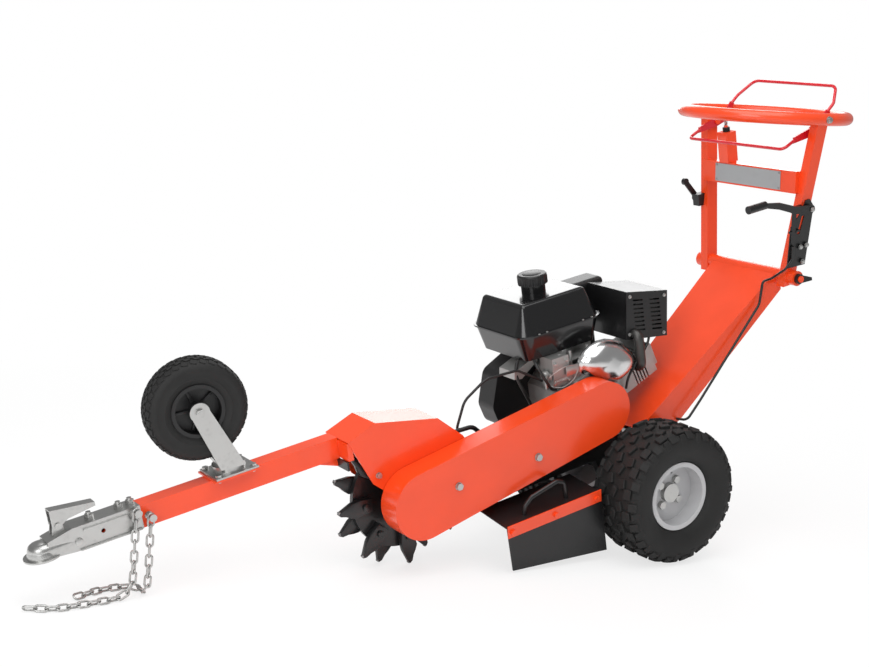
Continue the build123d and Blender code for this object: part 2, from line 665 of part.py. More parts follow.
CROSSBAR = [(574, 746), (565, 686), (592, 682), (601, 742)]
PLAQUE_T = 1.5


def handle_frame():
    reach = leg_y(714) - LEG_W / 2 + 4
    frame = rod_y(CROSS_D / 2, -CROSS_HALF, CROSS_HALF, PIVOT_X, PIVOT_Z)
    frame += plate_y(CROSSBAR, -reach, reach)
    for side in (-1, 1):
        frame += leg(side)
        y0, y1 = side * (BAIL_Y - 3.5), side * (leg_y(BAIL_PIVOT[1]) - 8)
        frame += rod_y(6, y0, y1, *BAIL_PIVOT)
        frame += rod_y(9, side * (BAIL_Y - 7), side * (BAIL_Y - 2.5 - GAP), *BAIL_PIVOT)
        frame += rod_y(9, side * (BAIL_Y + 2.5 + GAP), y1, *BAIL_PIVOT)
    # clamp stud at the left end of the cross tube, button at the right end
    stud = -CROSS_HALF
    frame += rod_y(5, stud - 13, stud, PIVOT_X, PIVOT_Z) + rod_y(9, stud - 15, stud - 10 - GAP, PIVOT_X, PIVOT_Z)
    frame += rod_y(CROSS_D / 2 - 3, CROSS_HALF, CROSS_HALF + 3, PIVOT_X, PIVOT_Z)
    return frame + grab_ring()


HANDLE = handle_frame()
for side in (-1, 1):
    HANDLE -= leg(side, 2.5) - block(400, 800, -260, 260, 300, LEG_LOW + 3) - block(400, 800, -260, 260, LEG_TOP - 3, 950)
add("handle_frame", HANDLE)

FACE_LEAN = (574.0 - 565.0) / 60.0
plaque = [(574 - 0.6 - FACE_LEAN * 4, 742), (565 + FACE_LEAN * 5, 691), (565 + FACE_LEAN * 5 - PLAQUE_T, 691),
          (574 - FACE_LEAN * 4 - PLAQUE_T - 0.6, 742)]
add("bare_plaque", plate_y(plaque, -130, 130) - plate_y(CROSSBAR, -200, 200))

def switch_box():
    box = block(566, 604, 71.5, 108.5, 747, 834) - plate_y(CROSSBAR, 0, 200)
    box += block(578, 598, 71.5, 108.5, 742, 748) - plate_y(CROSSBAR, 0, 200)
    return box


PLUNGER = rod_z(9, 834, 846, 585, 90) + rod_z(6, 846, 852, 585, 90) + rod_z(2.5, 852, 872, 585, 90)
add("switch_box", switch_box() + PLUNGER)


def bail():
    """Rocking red presence bar: two side plates joined by a front and a rear loop."""
    x, z = BAIL_PIVOT
    outline = [(566, 826), (x, 832), (672, 840), (712, 885), (700, 893), (664, 860), (x, 857), (570, 842)]
    bar = None
    for side in (-1, 1):
        y0, y1 = sorted((side * (BAIL_Y - 2.5), side * (BAIL_Y + 2.5)))
        plate = plate_y(outline, y0, y1) + rod_y(13, y0, y1, x, z)
        bar = plate if bar is None else bar + plate
    y = BAIL_Y
    front = bent_rod([(574, -y, 834.5), (529, -y, 818), (529, y, 818), (574, y, 834.5)], 15, BAIL_ROD_R)
    rear = bent_rod([(702, -y, 886.5), (728, -y, 905), (773, -158, 942), (773, 158, 942), (728, y, 905),
                     (702, y, 886.5)], [24, 30, 30, 24], BAIL_ROD_R)
    bar = bar + front + rear
    return bar - rod_y(6 + RUN, -220, 220, x, z)


add("presence_bail", bail())

# throttle on the right leg
THROTTLE = (556.0, 634.0)
THROTTLE_Y = 214.0


def throttle_mount():
    mount = block(543, 582, 184, THROTTLE_Y - 4.3, 612, 646) - leg(1)
    mount = mount.solids().sort_by(SortBy.VOLUME)[-1]
    return mount + rod_y(5, THROTTLE_Y - 6, THROTTLE_Y + 6, *THROTTLE)


def throttle_lever():
    x, z = THROTTLE
    y0, y1 = THROTTLE_Y - 4, THROTTLE_Y + 0.5
    arm = plate_y([(x - 9, z + 3), (x + 7, z + 9), (527, 694), (515, 684)], y0, y1) + rod_y(12, y0, y1, x, z)
    arm += rod_y(10, y0 - 3, y1 + 3, 521, 688)
    return arm - rod_y(5 + RUN, y0 - 5, y1 + 5, x, z)


add("throttle_mount", throttle_mount())
add("throttle_lever", throttle_lever())


# brake on the outside of the left leg, worked out on a flat plate and then leaned with the leg
def on_left_leg(solid):
    outer = leg_y(LEG_Z0) + LEG_W / 2 + 0.2
    leaned = Rot(degrees(atan2(LEG_SPLAY, 1)), 0, 0) * Pos(0, 0, -LEG_Z0) * mirror(solid, Plane.XZ)
    return Pos(0, -outer, LEG_Z0) * leaned


BRAKE_PIVOT = (595.0, 643.0)
BRAKE_PIN = (535.0, 654.0)


def brake_plate():
    plate = plate_y([(524, 482), (592, 478), (616, 645), (600, 668), (585, 668), (572, 640), (532, 600)], 0, 3)
    plate += rod_y(8, 0, 11, *BRAKE_PIVOT)
    plate -= plate_y([(556, 575), (566, 575), (582, 625), (572, 625)], -1, 4)
    for x, z in ((566, 538), (589, 538), (577, 492)):
        plate += rod_y(7, 3, 8, x, z)
    guide = block(526, 560, 0.05, 10, 585, 591) - block(530.7, 545.3, 4.3, 12, 580, 600)
    return plate + guide


def brake_lever():
    px, pz = BRAKE_PIVOT
    qx, qz = BRAKE_PIN
    y0, y1 = 3.3, 8.3
    arm = plate_y([(px, pz + 12), (px, pz - 12), (qx, qz - 11), (470, 672), (412, 690), (412, 703),
                   (475, 690), (qx, qz + 11)], y0 + 8, y1 + 8)
    arm += rod_y(12, y0 + 8, y1 + 8, px, pz)
    arm += rod_y(3.5, y0 + 1, y0 + 9, qx, qz)
    arm += Pos(0, y0 + 10.5, 0) * rod_between((420, 0, 696.5), (357, 0, 696.5), 11)
    return arm - rod_y(5 + RUN, -5, 40, px, pz)


def brake_link():
    """Strap hung on the lever pin, with a cross slot so that the pin can swing while it lifts."""
    strap = block(526, 562, 4.6, 8.6, 645.5, 662.5) + block(531, 545, 4.6, 8.6, 556, 650)
    strap += rod_y(7, 4.6, 8.6, 538, 560)
    strap -= block(530.5, 553.5, 0, 12, 649.5, 659.5)
    return strap + rod_between((538, 6.6, 556), (538, 6.6, 522), 1.2)


brake_stub = rod_y(5, 11, 18, *BRAKE_PIVOT)
add("brake_plate", on_left_leg(brake_plate() + brake_stub))
add("brake_lever", on_left_leg(brake_lever()))
add("brake_link", on_left_leg(brake_link()))

SHEATH_R = 3.5
ferrule = rod_between((538, 6.6, 546), (538, 6.6, 508), 5.0) - rod_between((538, 6.6, 547), (538, 6.6, 519), 1.6)
ferrule += block(530, 546, 0, 4, 520, 534) + block(534, 542, 2, 5, 520, 534)
ferrule -= rod_between((538, 6.6, 547), (538, 6.6, 519), 1.6)
FERRULE = on_left_leg(ferrule - brake_plate())
UPPER_START = on_left_leg(Pos(538, 6.6, 508.5) * Sphere(0.1)).center()
CABLE_Y = -133.0           # beside the neck
JOINT_X = PIVOT_X - 51.0   # the sheath parts here, level with the pivot, so that the handle can tilt
upper = bent_rod([tuple(UPPER_START), (512, UPPER_START.Y + 2, 484), (508, CABLE_Y, PIVOT_Z), (JOINT_X, CABLE_Y, PIVOT_Z)],
                 [12, 5], SHEATH_R)
add("brake_cable_upper", FERRULE.solids().sort_by(SortBy.VOLUME)[-1] + upper)
lower = bent_rod([(JOINT_X - 1, CABLE_Y, PIVOT_Z), (474, CABLE_Y, PIVOT_Z), (455, CABLE_Y, 388), (213, CABLE_Y, 177),
                  (160, CABLE_Y, 134), (150, -101, 134)], [12, 30, 90, 18], SHEATH_R)
add("frame_cables", lower)


def clamp_lever():
    y0, y1 = -CROSS_HALF - 6, -CROSS_HALF - GAP
    arm = rod_y(14, y0, y1, PIVOT_X, PIVOT_Z)
    arm += plate_y([(PIVOT_X - 12, PIVOT_Z + 2), (PIVOT_X - 5, PIVOT_Z + 15), (PIVOT_X + 45, PIVOT_Z - 6),
                    (PIVOT_X + 45, PIVOT_Z - 15), (PIVOT_X - 4, PIVOT_Z - 12)], y0 - 4, y0)
    arm += rod_y(14, y0 - 4, y0, PIVOT_X, PIVOT_Z)
    return arm - rod_y(5 + RUN, y0 - 20, y1 + 5, PIVOT_X, PIVOT_Z)


add("clamp_lever", clamp_lever())


# ---- engine ----------------------------------------------------------------------------------
def crankcase():
    foot = block(-205, 5, -40, 104, ENGINE_BASE, ENGINE_BASE + 10)
    waist = block(-168, -32, -6, 72, ENGINE_BASE + 10, 162)
    case = plate_y([(-195, 160), (10, 160), (20, 200), (20, 345), (-150, 345), (-195, 300)], -45, 95)
    engine = foot + waist + case
    engine -= rod_y(CRANK_D / 2 + RUN, -60, 70, CRANK_X, CRANK_Z)
    for x in (-181, -19):
        for y in (-20, 86):
            engine -= rod_z(4.5, ENGINE_BASE - 1, ENGINE_BASE + 11, x, y)
    engine += block(-160, -138, 0, 90, 345, 400) + block(-62, -40, 0, 90, 345, 400)
    return engine


def cylinder():
    barrel = block(-60, 60, -40, 90, -42, 42)
    for i in range(5):
        x = 2.0 + i * 10.0
        barrel -= block(x, x + 5, -60, 100, -60, 60) - block(x - 1, x + 6, -22, 72, -26, 26)
    head = block(60, 78, -40, 90, -42, 42) + block(78, 95, -28, 78, -32, 32)
    return Pos(60, 0, 282) * Rot(0, -18, 0) * (barrel + head) - CRANKCASE


CRANKCASE = crankcase()
add("engine_crankcase", CRANKCASE)
add("engine_cylinder", cylinder())
NODES["frame_bolts"] += [bolt_z(x, y, ENGINE_BASE + 10, r=7, head=6, shank=4.4, length=26)
                         for x in (-181, -19) for y in (-20, 86)]
add("crankshaft", rod_y(CRANK_D / 2, BELT_YS[1] - 15, 60, CRANK_X, CRANK_Z))

TANK = (-277.0, -10.0, -28.0, 217.0)    # footprint at the seam: x0, x1, y0, y1
TANK_SEAM_Z = 470.0
TANK_RISE = 80.0           # seam to top
TANK_DROP = 70.0           # seam to bottom
TANK_TAPER_UP = 21.0       # degrees
TANK_TAPER_DOWN = 15.0
TANK_WALL = 3.0
TANK_CORNER = 38.0
SEAM_LIP = 6.0
TANK_TOP = TANK_SEAM_Z + TANK_RISE
TANK_LOW = TANK_SEAM_Z - TANK_DROP
CAP_X, CAP_Y = -141.0, 94.0
CAP_Z = 570.0


def tank_outline(grow):
    x0, x1, y0, y1 = TANK
    outline = RectangleRounded(x1 - x0 + 2 * grow, y1 - y0 + 2 * grow, TANK_CORNER + grow)
    return Pos((x0 + x1) / 2, (y0 + y1) / 2, TANK_SEAM_Z) * outline


def tank_form(inset):
    upper = extrude(tank_outline(-inset), TANK_RISE - inset, taper=TANK_TAPER_UP)
    lower = extrude(tank_outline(-inset), -(TANK_DROP - inset), taper=TANK_TAPER_DOWN)
    return upper + lower


def fuel_tank():
    """Pressed tank in two tapering halves that meet at a rolled lip."""
    body = tank_form(0.0)
    body = fillet(body.edges().group_by(Axis.Z)[-1], 14)
    lip = Pos(0, 0, -2) * extrude(tank_outline(SEAM_LIP), 4)
    body = body + lip + rod_z(33, TANK_TOP - 4, CAP_Z - GAP, CAP_X, CAP_Y)
    body += rod_z(27, TANK_TOP, CAP_Z + 15, CAP_X, CAP_Y)
    body -= tank_form(TANK_WALL)
    return body - rod_z(24, TANK_TOP - 20, CAP_Z + 20, CAP_X, CAP_Y)


def fuel_cap():
    cap = rod_z(40, CAP_Z, CAP_Z + 28, CAP_X, CAP_Y)
    cap = fillet(cap.edges().group_by(Axis.Z)[-1], 5)
    cap -= rod_z(27 + RUN, CAP_Z - 1, CAP_Z + 15.3, CAP_X, CAP_Y)
    for i in range(12):
        t = radians(30 * i)
        cap -= rod_z(4, CAP_Z - 1, CAP_Z + 20, CAP_X + 42 * cos(t), CAP_Y + 42 * sin(t))
    return cap


add("fuel_tank", fuel_tank())
add("fuel_cap", fuel_cap())


EXHAUST_R = 14.0
LOUVRE_PITCH = 12.0
LOUVRE_FALL = 0.21
LOUVRE_H = 4.5


def muffler_guard():
    outline = [(62, 514), (46, 382), (188, 356), (203, 483)]
    inner = [(64, 511), (49, 385), (186, 359.5), (200, 481)]
    shell = plate_y(outline, -46, 124) - plate_y(inner, -44, 122)
    for i in range(8):
        for x in (98.0, 156.0):
            z = 398.0 + i * LOUVRE_PITCH - (x - 98.0) * LOUVRE_FALL
            shell -= Pos(x, 0, z) * Rot(0, 12, 0) * Box(34, 300, LOUVRE_H)
    return shell - rod_y(EXHAUST_R + 0.5, -60, -40, 76, 392)


add("muffler_guard", muffler_guard())
MUFFLER_AT = (124.0, 434.0)
EXHAUST = bent_rod([(76, -40, 300), (76, -62, 300), (76, -62, 392), (76, -44.5, 392)], 15, EXHAUST_R)
can = ring_y(48, 44, -36, 108, *MUFFLER_AT) + rod_y(48, -40, -36, *MUFFLER_AT) + rod_y(48, 108, 112, *MUFFLER_AT)
can += rod_y(12, -44, -40, *MUFFLER_AT) + rod_y(12, 112, 122, *MUFFLER_AT)
add("muffler", can, EXHAUST)

shield = plate_y([(-130, 352), (-112, 388), (-75, 408), (-35, 410), (20, 388), (63, 324), (40, 292), (-9, 278),
                  (-70, 300)], -50, -46)
shield -= rod_y(EXHAUST_R + 0.4, -60, -40, 76, 300)
add("heat_shield", shield + rod_y(6, -46, -45, -60, 330) + rod_y(6, -46, -45, -10, 300))

cleaner = block(0, 125, 128, 205, 400, 517)
cleaner = fillet(cleaner.edges(), 14)
duct = block(-5, 20, 60, 94, 345, 440) + block(-5, 20, 94, 140, 405, 440)
add("air_cleaner", cleaner + duct)


FAN_FACE = 166.0


def fan_housing():
    below = block(-400, 100, 90, 180, 0, 197)
    scroll = plate_y([(CRANK_X - 186, 198), (CRANK_X - 205, 262), (CRANK_X - 176, 352), (CRANK_X - 96, 386),
                      (CRANK_X, 364), (CRANK_X + 20, 198)], 95, FAN_FACE)
    scroll = fillet(scroll.edges().filter_by(Axis.Y).sort_by(Axis.X)[:3], 30)
    housing = rod_y(118, 95, FAN_FACE, CRANK_X, CRANK_Z) + scroll + rod_y(70, FAN_FACE, FAN_FACE + 6, CRANK_X, CRANK_Z) - below
    for i in range(10):
        t = radians(36 * i)
        x, z = CRANK_X + 92 * cos(t), CRANK_Z + 92 * sin(t)
        if z > 208:
            housing -= rod_y(9, 150, 170, x, z)
    return housing - rod_y(3.2, 160, 175, -150, 300)


add("fan_housing", fan_housing())
add("recoil_grip", rod_z(9, 278, 322, -150, 186) + rod_y(3, 170, 186, -150, 300))

carb = block(-205, -150.5, -45, 10, 318, 398) - CRANKCASE
carb += rod_y(22, -45, 40, -178, 362)
add("carburettor", carb - CRANKCASE - NODES["fuel_tank"][0] - tank_form(1.0))


BRACE_R = 6.0
BRACE_Y = -37.0
DECK_FRONT = -235.0


def brace():
    """Black stay from the housing down to the front edge of the engine deck."""
    stay = bent_rod([(-549, BRACE_Y, 297), (-470, BRACE_Y, 293), (-330, BRACE_Y, 129), (DECK_FRONT, BRACE_Y, 129)],
                    [30, 40], BRACE_R) - NODES["cutter_housing"][0] - NODES["main_frame"][0]
    return stay.solids().sort_by(SortBy.VOLUME)[-1]


add("brace_rod", brace())
CABLE_R = 3.5
control = bent_rod([(-210, -20, 330), (-300, -20, 392), (-400, -20, 398), (-473, -20, 360), (-504, -20, 300), (-512, -20, 262)],
                   [40, 60, 50, 30], CABLE_R)
control = control - NODES["cutter_housing"][0] - NODES["carburettor"][0] - CRANKCASE - NODES["fuel_tank"][0]
NODES["frame_cables"].append(control.solids().sort_by(SortBy.VOLUME)[-1])
bracket = plate_y([(-262, 348), (-286, 352), (-283, 372), (-210, 398), (-206, 384)], 20, 90)
add("tank_bracket", bracket - NODES["fuel_tank"][0] - NODES["carburettor"][0] - CRANKCASE - NODES["fan_housing"][0])


# ---- debris guard that draws out sideways on two rods ----------------------------------------
GUARD_TILT = 7.1
GUARD_INNER = (-79.0, 86.0)
GUARD_RODS = (-470.0, -244.0)
GUARD_X = (-510.0, -214.0)


def on_guard(solid):
    return Pos(0, GUARD_INNER[0], GUARD_INNER[1]) * Rot(GUARD_TILT, 0, 0) * solid


ROD_DROP = 14.0


def guard_plate():
    plate = block(GUARD_X[0], GUARD_X[1], -121, 0, -3, 0)
    for x in GUARD_RODS:
        plate += rod_y(8.5, -116.5, -4, x, -ROD_DROP) + block(x - 6, x + 6, -116.5, -4, -ROD_DROP, -1)
        plate -= rod_y(5 + RUN, -119, -3, x, -ROD_DROP)
    return plate


def guard_rods():
    rods = []
    for x in GUARD_RODS:
        rod = rod_y(5, -112, 34, x, -ROD_DROP)
        rod = on_guard(rod) + block(x - 6, x + 6, -56, -34, RAIL_LOW - 14, RAIL_LOW)
        rods.append(rod)
    return rods


add("guard_plate", on_guard(guard_plate()))
for rod in guard_rods():
    NODES["main_frame"] = [NODES["main_frame"][0] + rod]
STRIP_BOLTS = (-492.0, -356.0, -222.0)
strip = block(-506, -206, -124, -121, -32, 2)
strip_holes = [rod_y(3.5, -130, -110, x, -17) for x in STRIP_BOLTS]
for hole in strip_holes:
    strip -= hole
add("guard_strip", on_guard(strip), *[on_guard(hex_bolt_y(x, -124, -17, -1, across=13, head=5, shank=3.5, length=9))
                                      for x in STRIP_BOLTS])
flap = plate_y([(-506, -6), (-206, -6), (-189, -188), (-494, -132)], -121, -117)
flap += block(-210, -206, -121, -40, -120, -6)
for hole in strip_holes:
    flap -= hole
for x in GUARD_RODS:
    flap -= rod_y(9.5, -125, -110, x, -ROD_DROP)
flap -= block(-520, -200, -122, 5, -3 - 0.01, 5)
add("guard_flap", on_guard(flap))


def guard_handle():
    y = -94.0
    points = [(-435, y, -6), (-430, y, 22), (-409, y, 40), (-327, y, 57), (-305, y, 46), (-300, y, 10), (-300, y, -6)]
    return bent_rod(points, [10, 14, 14, 14, 10], 6.0)


grip = guard_handle() - block(-520, -200, -130, 0, -20, -2.9)
NODES["guard_plate"] = [NODES["guard_plate"][0] + on_guard(grip)]


# ---- park the machine on its tyres and write the parts ---------------------------------------
def park():
    """Tip every solid and find the middle of the whole machine."""
    tilt = Rot(0, -NOSE_DOWN, 0)
    tipped = {name: [tilt * s for s in solids] for name, solids in NODES.items()}
    boxes = [s.bounding_box() for solids in tipped.values() for s in solids]
    cx = (min(b.min.X for b in boxes) + max(b.max.X for b in boxes)) / 2
    cy = (min(b.min.Y for b in boxes) + max(b.max.Y for b in boxes)) / 2
    return tipped, Pos(-cx, -cy, WHEEL_R)


PARKED, SHIFT = park()


def machine_point(x, y, z):
    """Where a point of the level machine ends up in the parked part."""
    p = (SHIFT * Rot(0, -NOSE_DOWN, 0) * Pos(x, y, z)).position
    return (p.X, p.Y, p.Z)


if __name__ == "__main__":
    os.makedirs("parts", exist_ok=True)
    for name, solids in PARKED.items():
        moved = [SHIFT * s for s in solids]
        shape = moved[0] if len(moved) == 1 else Compound(children=moved)
        export_step(shape, "parts/" + name + ".step")
    print(len(NODES), "nodes, nose down", round(NOSE_DOWN, 3), "degrees")
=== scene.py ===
"""Looks for the towable stump grinder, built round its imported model."""

import json
import math

import bmesh
import bpy
from bpy.props import FloatProperty, FloatVectorProperty, IntProperty, PointerProperty
from bpy.types import Operator, Panel, PropertyGroup
from mathutils import Matrix, Vector


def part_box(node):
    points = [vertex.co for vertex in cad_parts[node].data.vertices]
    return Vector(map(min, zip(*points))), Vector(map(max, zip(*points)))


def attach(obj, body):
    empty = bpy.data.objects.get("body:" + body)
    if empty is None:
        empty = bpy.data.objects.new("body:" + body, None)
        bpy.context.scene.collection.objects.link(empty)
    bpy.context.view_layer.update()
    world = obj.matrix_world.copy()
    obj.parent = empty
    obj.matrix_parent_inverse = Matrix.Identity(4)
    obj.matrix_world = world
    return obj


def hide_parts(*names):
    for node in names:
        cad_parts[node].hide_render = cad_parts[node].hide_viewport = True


bl_info = {
    "name": "Stump Grinder Dresser",
    "version": (1, 0, 0),
    "blender": (4, 5, 0),
    "location": "View3D > Sidebar > Grinder",
    "description": "Adds treads, trim, finishes and a studio to a towable stump grinder",
    "category": "Object",
}

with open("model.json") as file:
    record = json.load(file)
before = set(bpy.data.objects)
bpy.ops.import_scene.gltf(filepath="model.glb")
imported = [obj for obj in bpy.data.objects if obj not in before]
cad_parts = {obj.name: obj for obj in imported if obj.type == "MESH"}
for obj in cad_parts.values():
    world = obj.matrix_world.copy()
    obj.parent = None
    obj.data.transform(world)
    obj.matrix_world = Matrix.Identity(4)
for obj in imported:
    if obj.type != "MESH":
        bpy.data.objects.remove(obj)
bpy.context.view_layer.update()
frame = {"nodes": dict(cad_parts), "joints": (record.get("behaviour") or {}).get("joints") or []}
NODES = frame["nodes"]
JOINTS = {j["name"]: j for j in frame["joints"]}

# ---- the level machine: millimetres from the axle, before it is tipped onto its teeth ----------
MM = 0.001
UP = Vector(JOINTS["caster_swing"]["axis"])
NOSE_DOWN = math.atan2(-UP.x, UP.z)
_low, _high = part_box("left_tyre")
AXLE = Vector(((_low.x + _high.x) / 2, 0.0, (_low.z + _high.z) / 2))
WHEEL_R = (_high.z - _low.z) / 2 / MM
TYRE_Y = (_low.y + _high.y) / 2 / MM
TO_ROW = Matrix.Translation(AXLE) @ Matrix.Rotation(-NOSE_DOWN, 4, "Y") @ Matrix.Scale(MM, 4)
TO_LEVEL = TO_ROW.inverted()


def level(joint):
    """A joint's place on the level machine, in millimetres."""
    return TO_LEVEL @ Vector(JOINTS[joint]["pos_m"])


CRANK = level("crank_spin")
ROTOR = level("cutter_spin")
CAP = level("cap_turn")
CASTER = level("caster_spin")
CASTER_AXIS = (TO_LEVEL.to_3x3() @ Vector(JOINTS["caster_spin"]["axis"])).normalized()

# sizes of the part that the trim is built on, in millimetres
CASTER_R = 123.0           # jockey tyre
CASE_NEAR = -45.0          # the crankcase's left face
SIDE_COVER = (-70, 262)    # centre of the crankcase's side cover, x and z
CARBURETTOR = (-178, -18)  # axis of its bowl, x and y
STARTER_FACE = 172         # y at which the starter's trim stands
SHIELD_Y = -47.0           # foot of the heat shield's dome
SHIELD_AT = (-34.0, 344.0)
TEETH_PER_SIDE = 8
TOOTH_T = 20               # how far a tooth stands off the disc
DISC_Y = -5.0              # the disc's middle plane
DISC_T = 14.0
COUPLER_Y = 9.0            # the coupler's middle plane
COUPLER_HALF = 27.4
LEG_BASE = 478.0           # height at which the leg's outer face is given
LEG_OUTER = 176.2
SPLAY = math.atan(0.143)   # the legs' lean outwards
SWITCH = (585, 90)         # the switch plunger's axis, x and y
RING_END = (651, 243, 877.5)


# ---- finishes ----------------------------------------------------------------------------------
def shader_tree(name):
    mat = bpy.data.materials.new(name)
    mat.use_nodes = True
    tree = mat.node_tree
    return mat, tree, tree.nodes["Principled BSDF"]


def grain(tree, scale, detail=3.0, kind="ShaderNodeTexNoise"):
    """A pattern fixed to the piece, in Object coordinates."""
    coord = tree.nodes.new("ShaderNodeTexCoord")
    tex = tree.nodes.new(kind)
    tex.inputs["Scale"].default_value = scale
    if "Detail" in tex.inputs:
        tex.inputs["Detail"].default_value = detail
    tree.links.new(coord.outputs["Object"], tex.inputs["Vector"])
    return tex.outputs[0]


def ramp_between(tree, value, low, high):
    """Stretches a 0..1 pattern to the range low..high."""
    span = tree.nodes.new("ShaderNodeMapRange")
    span.inputs["To Min"].default_value = low
    span.inputs["To Max"].default_value = high
    tree.links.new(value, span.inputs["Value"])
    return span.outputs["Result"]


def tint_between(tree, value, dark, light, sharp=0.25):
    ramp = tree.nodes.new("ShaderNodeValToRGB")
    ramp.color_ramp.elements[0].position = 0.5 - sharp
    ramp.color_ramp.elements[1].position = 0.5 + sharp
    ramp.color_ramp.elements[0].color = (*dark, 1)
    ramp.color_ramp.elements[1].color = (*light, 1)
    tree.links.new(value, ramp.inputs["Fac"])
    return ramp.outputs["Color"]


def bump(tree, bsdf, value, strength, distance):
    node = tree.nodes.new("ShaderNodeBump")
    node.inputs["Strength"].default_value = strength
    node.inputs["Distance"].default_value = distance
    tree.links.new(value, node.inputs["Height"])
    tree.links.new(node.outputs["Normal"], bsdf.inputs["Normal"])


def shade(colour, by):
    return tuple(min(1.0, c * by) for c in colour)


def powder_coat(name, colour, rough=0.3, coat=0.4, peel=0.12):
    """Powder coat: even colour, faint orange peel, clear sheen."""
    mat, tree, bsdf = shader_tree(name)
    cloud = grain(tree, 9.0)
    tint = tint_between(tree, cloud, shade(colour, 0.94), shade(colour, 1.04))
    tree.links.new(tint, bsdf.inputs["Base Color"])
    tree.links.new(ramp_between(tree, cloud, rough - 0.05, rough + 0.06), bsdf.inputs["Roughness"])
    bsdf.inputs["Coat Weight"].default_value = coat
    bsdf.inputs["Coat Roughness"].default_value = 0.12
    bump(tree, bsdf, grain(tree, 420.0, 1.0), peel, 0.0004)
    return mat


def bare_metal(name, colour, rough=0.35, spangle=60.0, mottling=0.12):
    """Plated or machined metal with a faint crystal mottle."""
    mat, tree, bsdf = shader_tree(name)
    bsdf.inputs["Metallic"].default_value = 1.0
    cells = grain(tree, spangle, kind="ShaderNodeTexVoronoi")
    low, high = shade(colour, 1 - mottling), shade(colour, 1 + mottling * 0.5)
    tree.links.new(tint_between(tree, cells, low, high, 0.4), bsdf.inputs["Base Color"])
    tree.links.new(ramp_between(tree, grain(tree, 30.0), rough - 0.07, rough + 0.1), bsdf.inputs["Roughness"])
    return mat


def cast_metal(name, colour, rough=0.5):
    """Sand or die casting: fine pitted skin."""
    mat, tree, bsdf = shader_tree(name)
    bsdf.inputs["Metallic"].default_value = 0.85
    bsdf.inputs["Roughness"].default_value = rough
    cloud = grain(tree, 24.0)
    tree.links.new(tint_between(tree, cloud, shade(colour, 0.86), colour), bsdf.inputs["Base Color"])
    bump(tree, bsdf, grain(tree, 700.0, 2.0), 0.35, 0.0006)
    return mat


def rubber(name, colour, rough=0.72, pits=500.0):
    mat, tree, bsdf = shader_tree(name)
    cloud = grain(tree, 18.0)
    tint = tint_between(tree, cloud, shade(colour, 0.8), shade(colour, 1.25))
    tree.links.new(tint, bsdf.inputs["Base Color"])
    bsdf.inputs["Roughness"].default_value = rough
    bump(tree, bsdf, grain(tree, pits, 2.0), 0.2, 0.0005)
    return mat


def moulded(name, colour, rough=0.4, texture=0.15, coat=0.0):
    """Moulded plastic with a fine spark-eroded texture."""
    mat, tree, bsdf = shader_tree(name)
    cloud = grain(tree, 14.0)
    tint = tint_between(tree, cloud, shade(colour, 0.92), shade(colour, 1.08))
    tree.links.new(tint, bsdf.inputs["Base Color"])
    bsdf.inputs["Roughness"].default_value = rough
    bsdf.inputs["Coat Weight"].default_value = coat
    bsdf.inputs["Coat Roughness"].default_value = 0.06
    bump(tree, bsdf, grain(tree, 900.0, 1.0), texture, 0.0003)
    return mat


class GrinderFinish(PropertyGroup):
    """Colours of the machine's paints and metals."""
    orange: FloatVectorProperty(name="Orange", description="Powder coat of neck, housing and cover", size=3,
                                subtype="COLOR", default=(0.86, 0.062, 0.008), min=0, max=1)
    black: FloatVectorProperty(name="Black", description="Powder coat of chassis and brackets", size=3,
                               subtype="COLOR", default=(0.006, 0.006, 0.0065), min=0, max=1)
    red: FloatVectorProperty(name="Red", description="Paint of the presence bail", size=3,
                             subtype="COLOR", default=(0.62, 0.008, 0.02), min=0, max=1)
    zinc: FloatVectorProperty(name="Zinc", description="Plated coupler, chain and bolts", size=3,
                              subtype="COLOR", default=(0.5, 0.5, 0.49), min=0, max=1)
    alloy: FloatVectorProperty(name="Alloy", description="Engine castings", size=3,
                               subtype="COLOR", default=(0.5, 0.5, 0.49), min=0, max=1)
    tyre: FloatVectorProperty(name="Tyre", description="Rubber of the tyres", size=3,
                              subtype="COLOR", default=(0.009, 0.0088, 0.0086), min=0, max=1)


FINISH = {}


def make_finishes(props):
    FINISH.update(
        orange=powder_coat("orange powder coat", tuple(props.orange)),
        black=powder_coat("black powder coat", tuple(props.black), 0.38, 0.2),
        red=powder_coat("red bail paint", tuple(props.red), 0.25, 0.6),
        gloss_black=moulded("gloss black tank", (0.004, 0.004, 0.0045), 0.2, 0.02, 0.35),
        zinc=bare_metal("bright zinc plate", tuple(props.zinc), 0.34),
        chain=bare_metal("chain zinc", shade(props.zinc, 0.92), 0.4, 90.0, 0.25),
        soot=bare_metal("heat-dulled steel", (0.09, 0.088, 0.085), 0.5, 40.0, 0.2),
        steel=bare_metal("turned steel", (0.42, 0.42, 0.42), 0.3, 200.0, 0.05),
        shield=bare_metal("pressed bright steel", (0.66, 0.66, 0.66), 0.22, 14.0, 0.06),
        cutter=powder_coat("cutter black", (0.007, 0.007, 0.0075), 0.34, 0.3, 0.4),
        alloy=cast_metal("cast alloy", tuple(props.alloy)),
        rim=powder_coat("silver wheel paint", (0.5, 0.5, 0.51), 0.3, 0.3),
        tyre=rubber("tyre rubber", tuple(props.tyre)),
        flap=rubber("sheet rubber", (0.006, 0.006, 0.0065), 0.3, 120.0),
        belt=rubber("belt rubber", (0.02, 0.02, 0.02), 0.8),
        plastic=moulded("textured black plastic", (0.008, 0.008, 0.0085), 0.42),
        cable=moulded("cable sheath", (0.012, 0.012, 0.012), 0.35, 0.05),
        plaque=bare_metal("bare plaque alloy", (0.55, 0.56, 0.57), 0.4, 30.0, 0.03),
        carbide=bare_metal("cutter tip", (0.3, 0.3, 0.3), 0.4, 150.0, 0.1),
    )


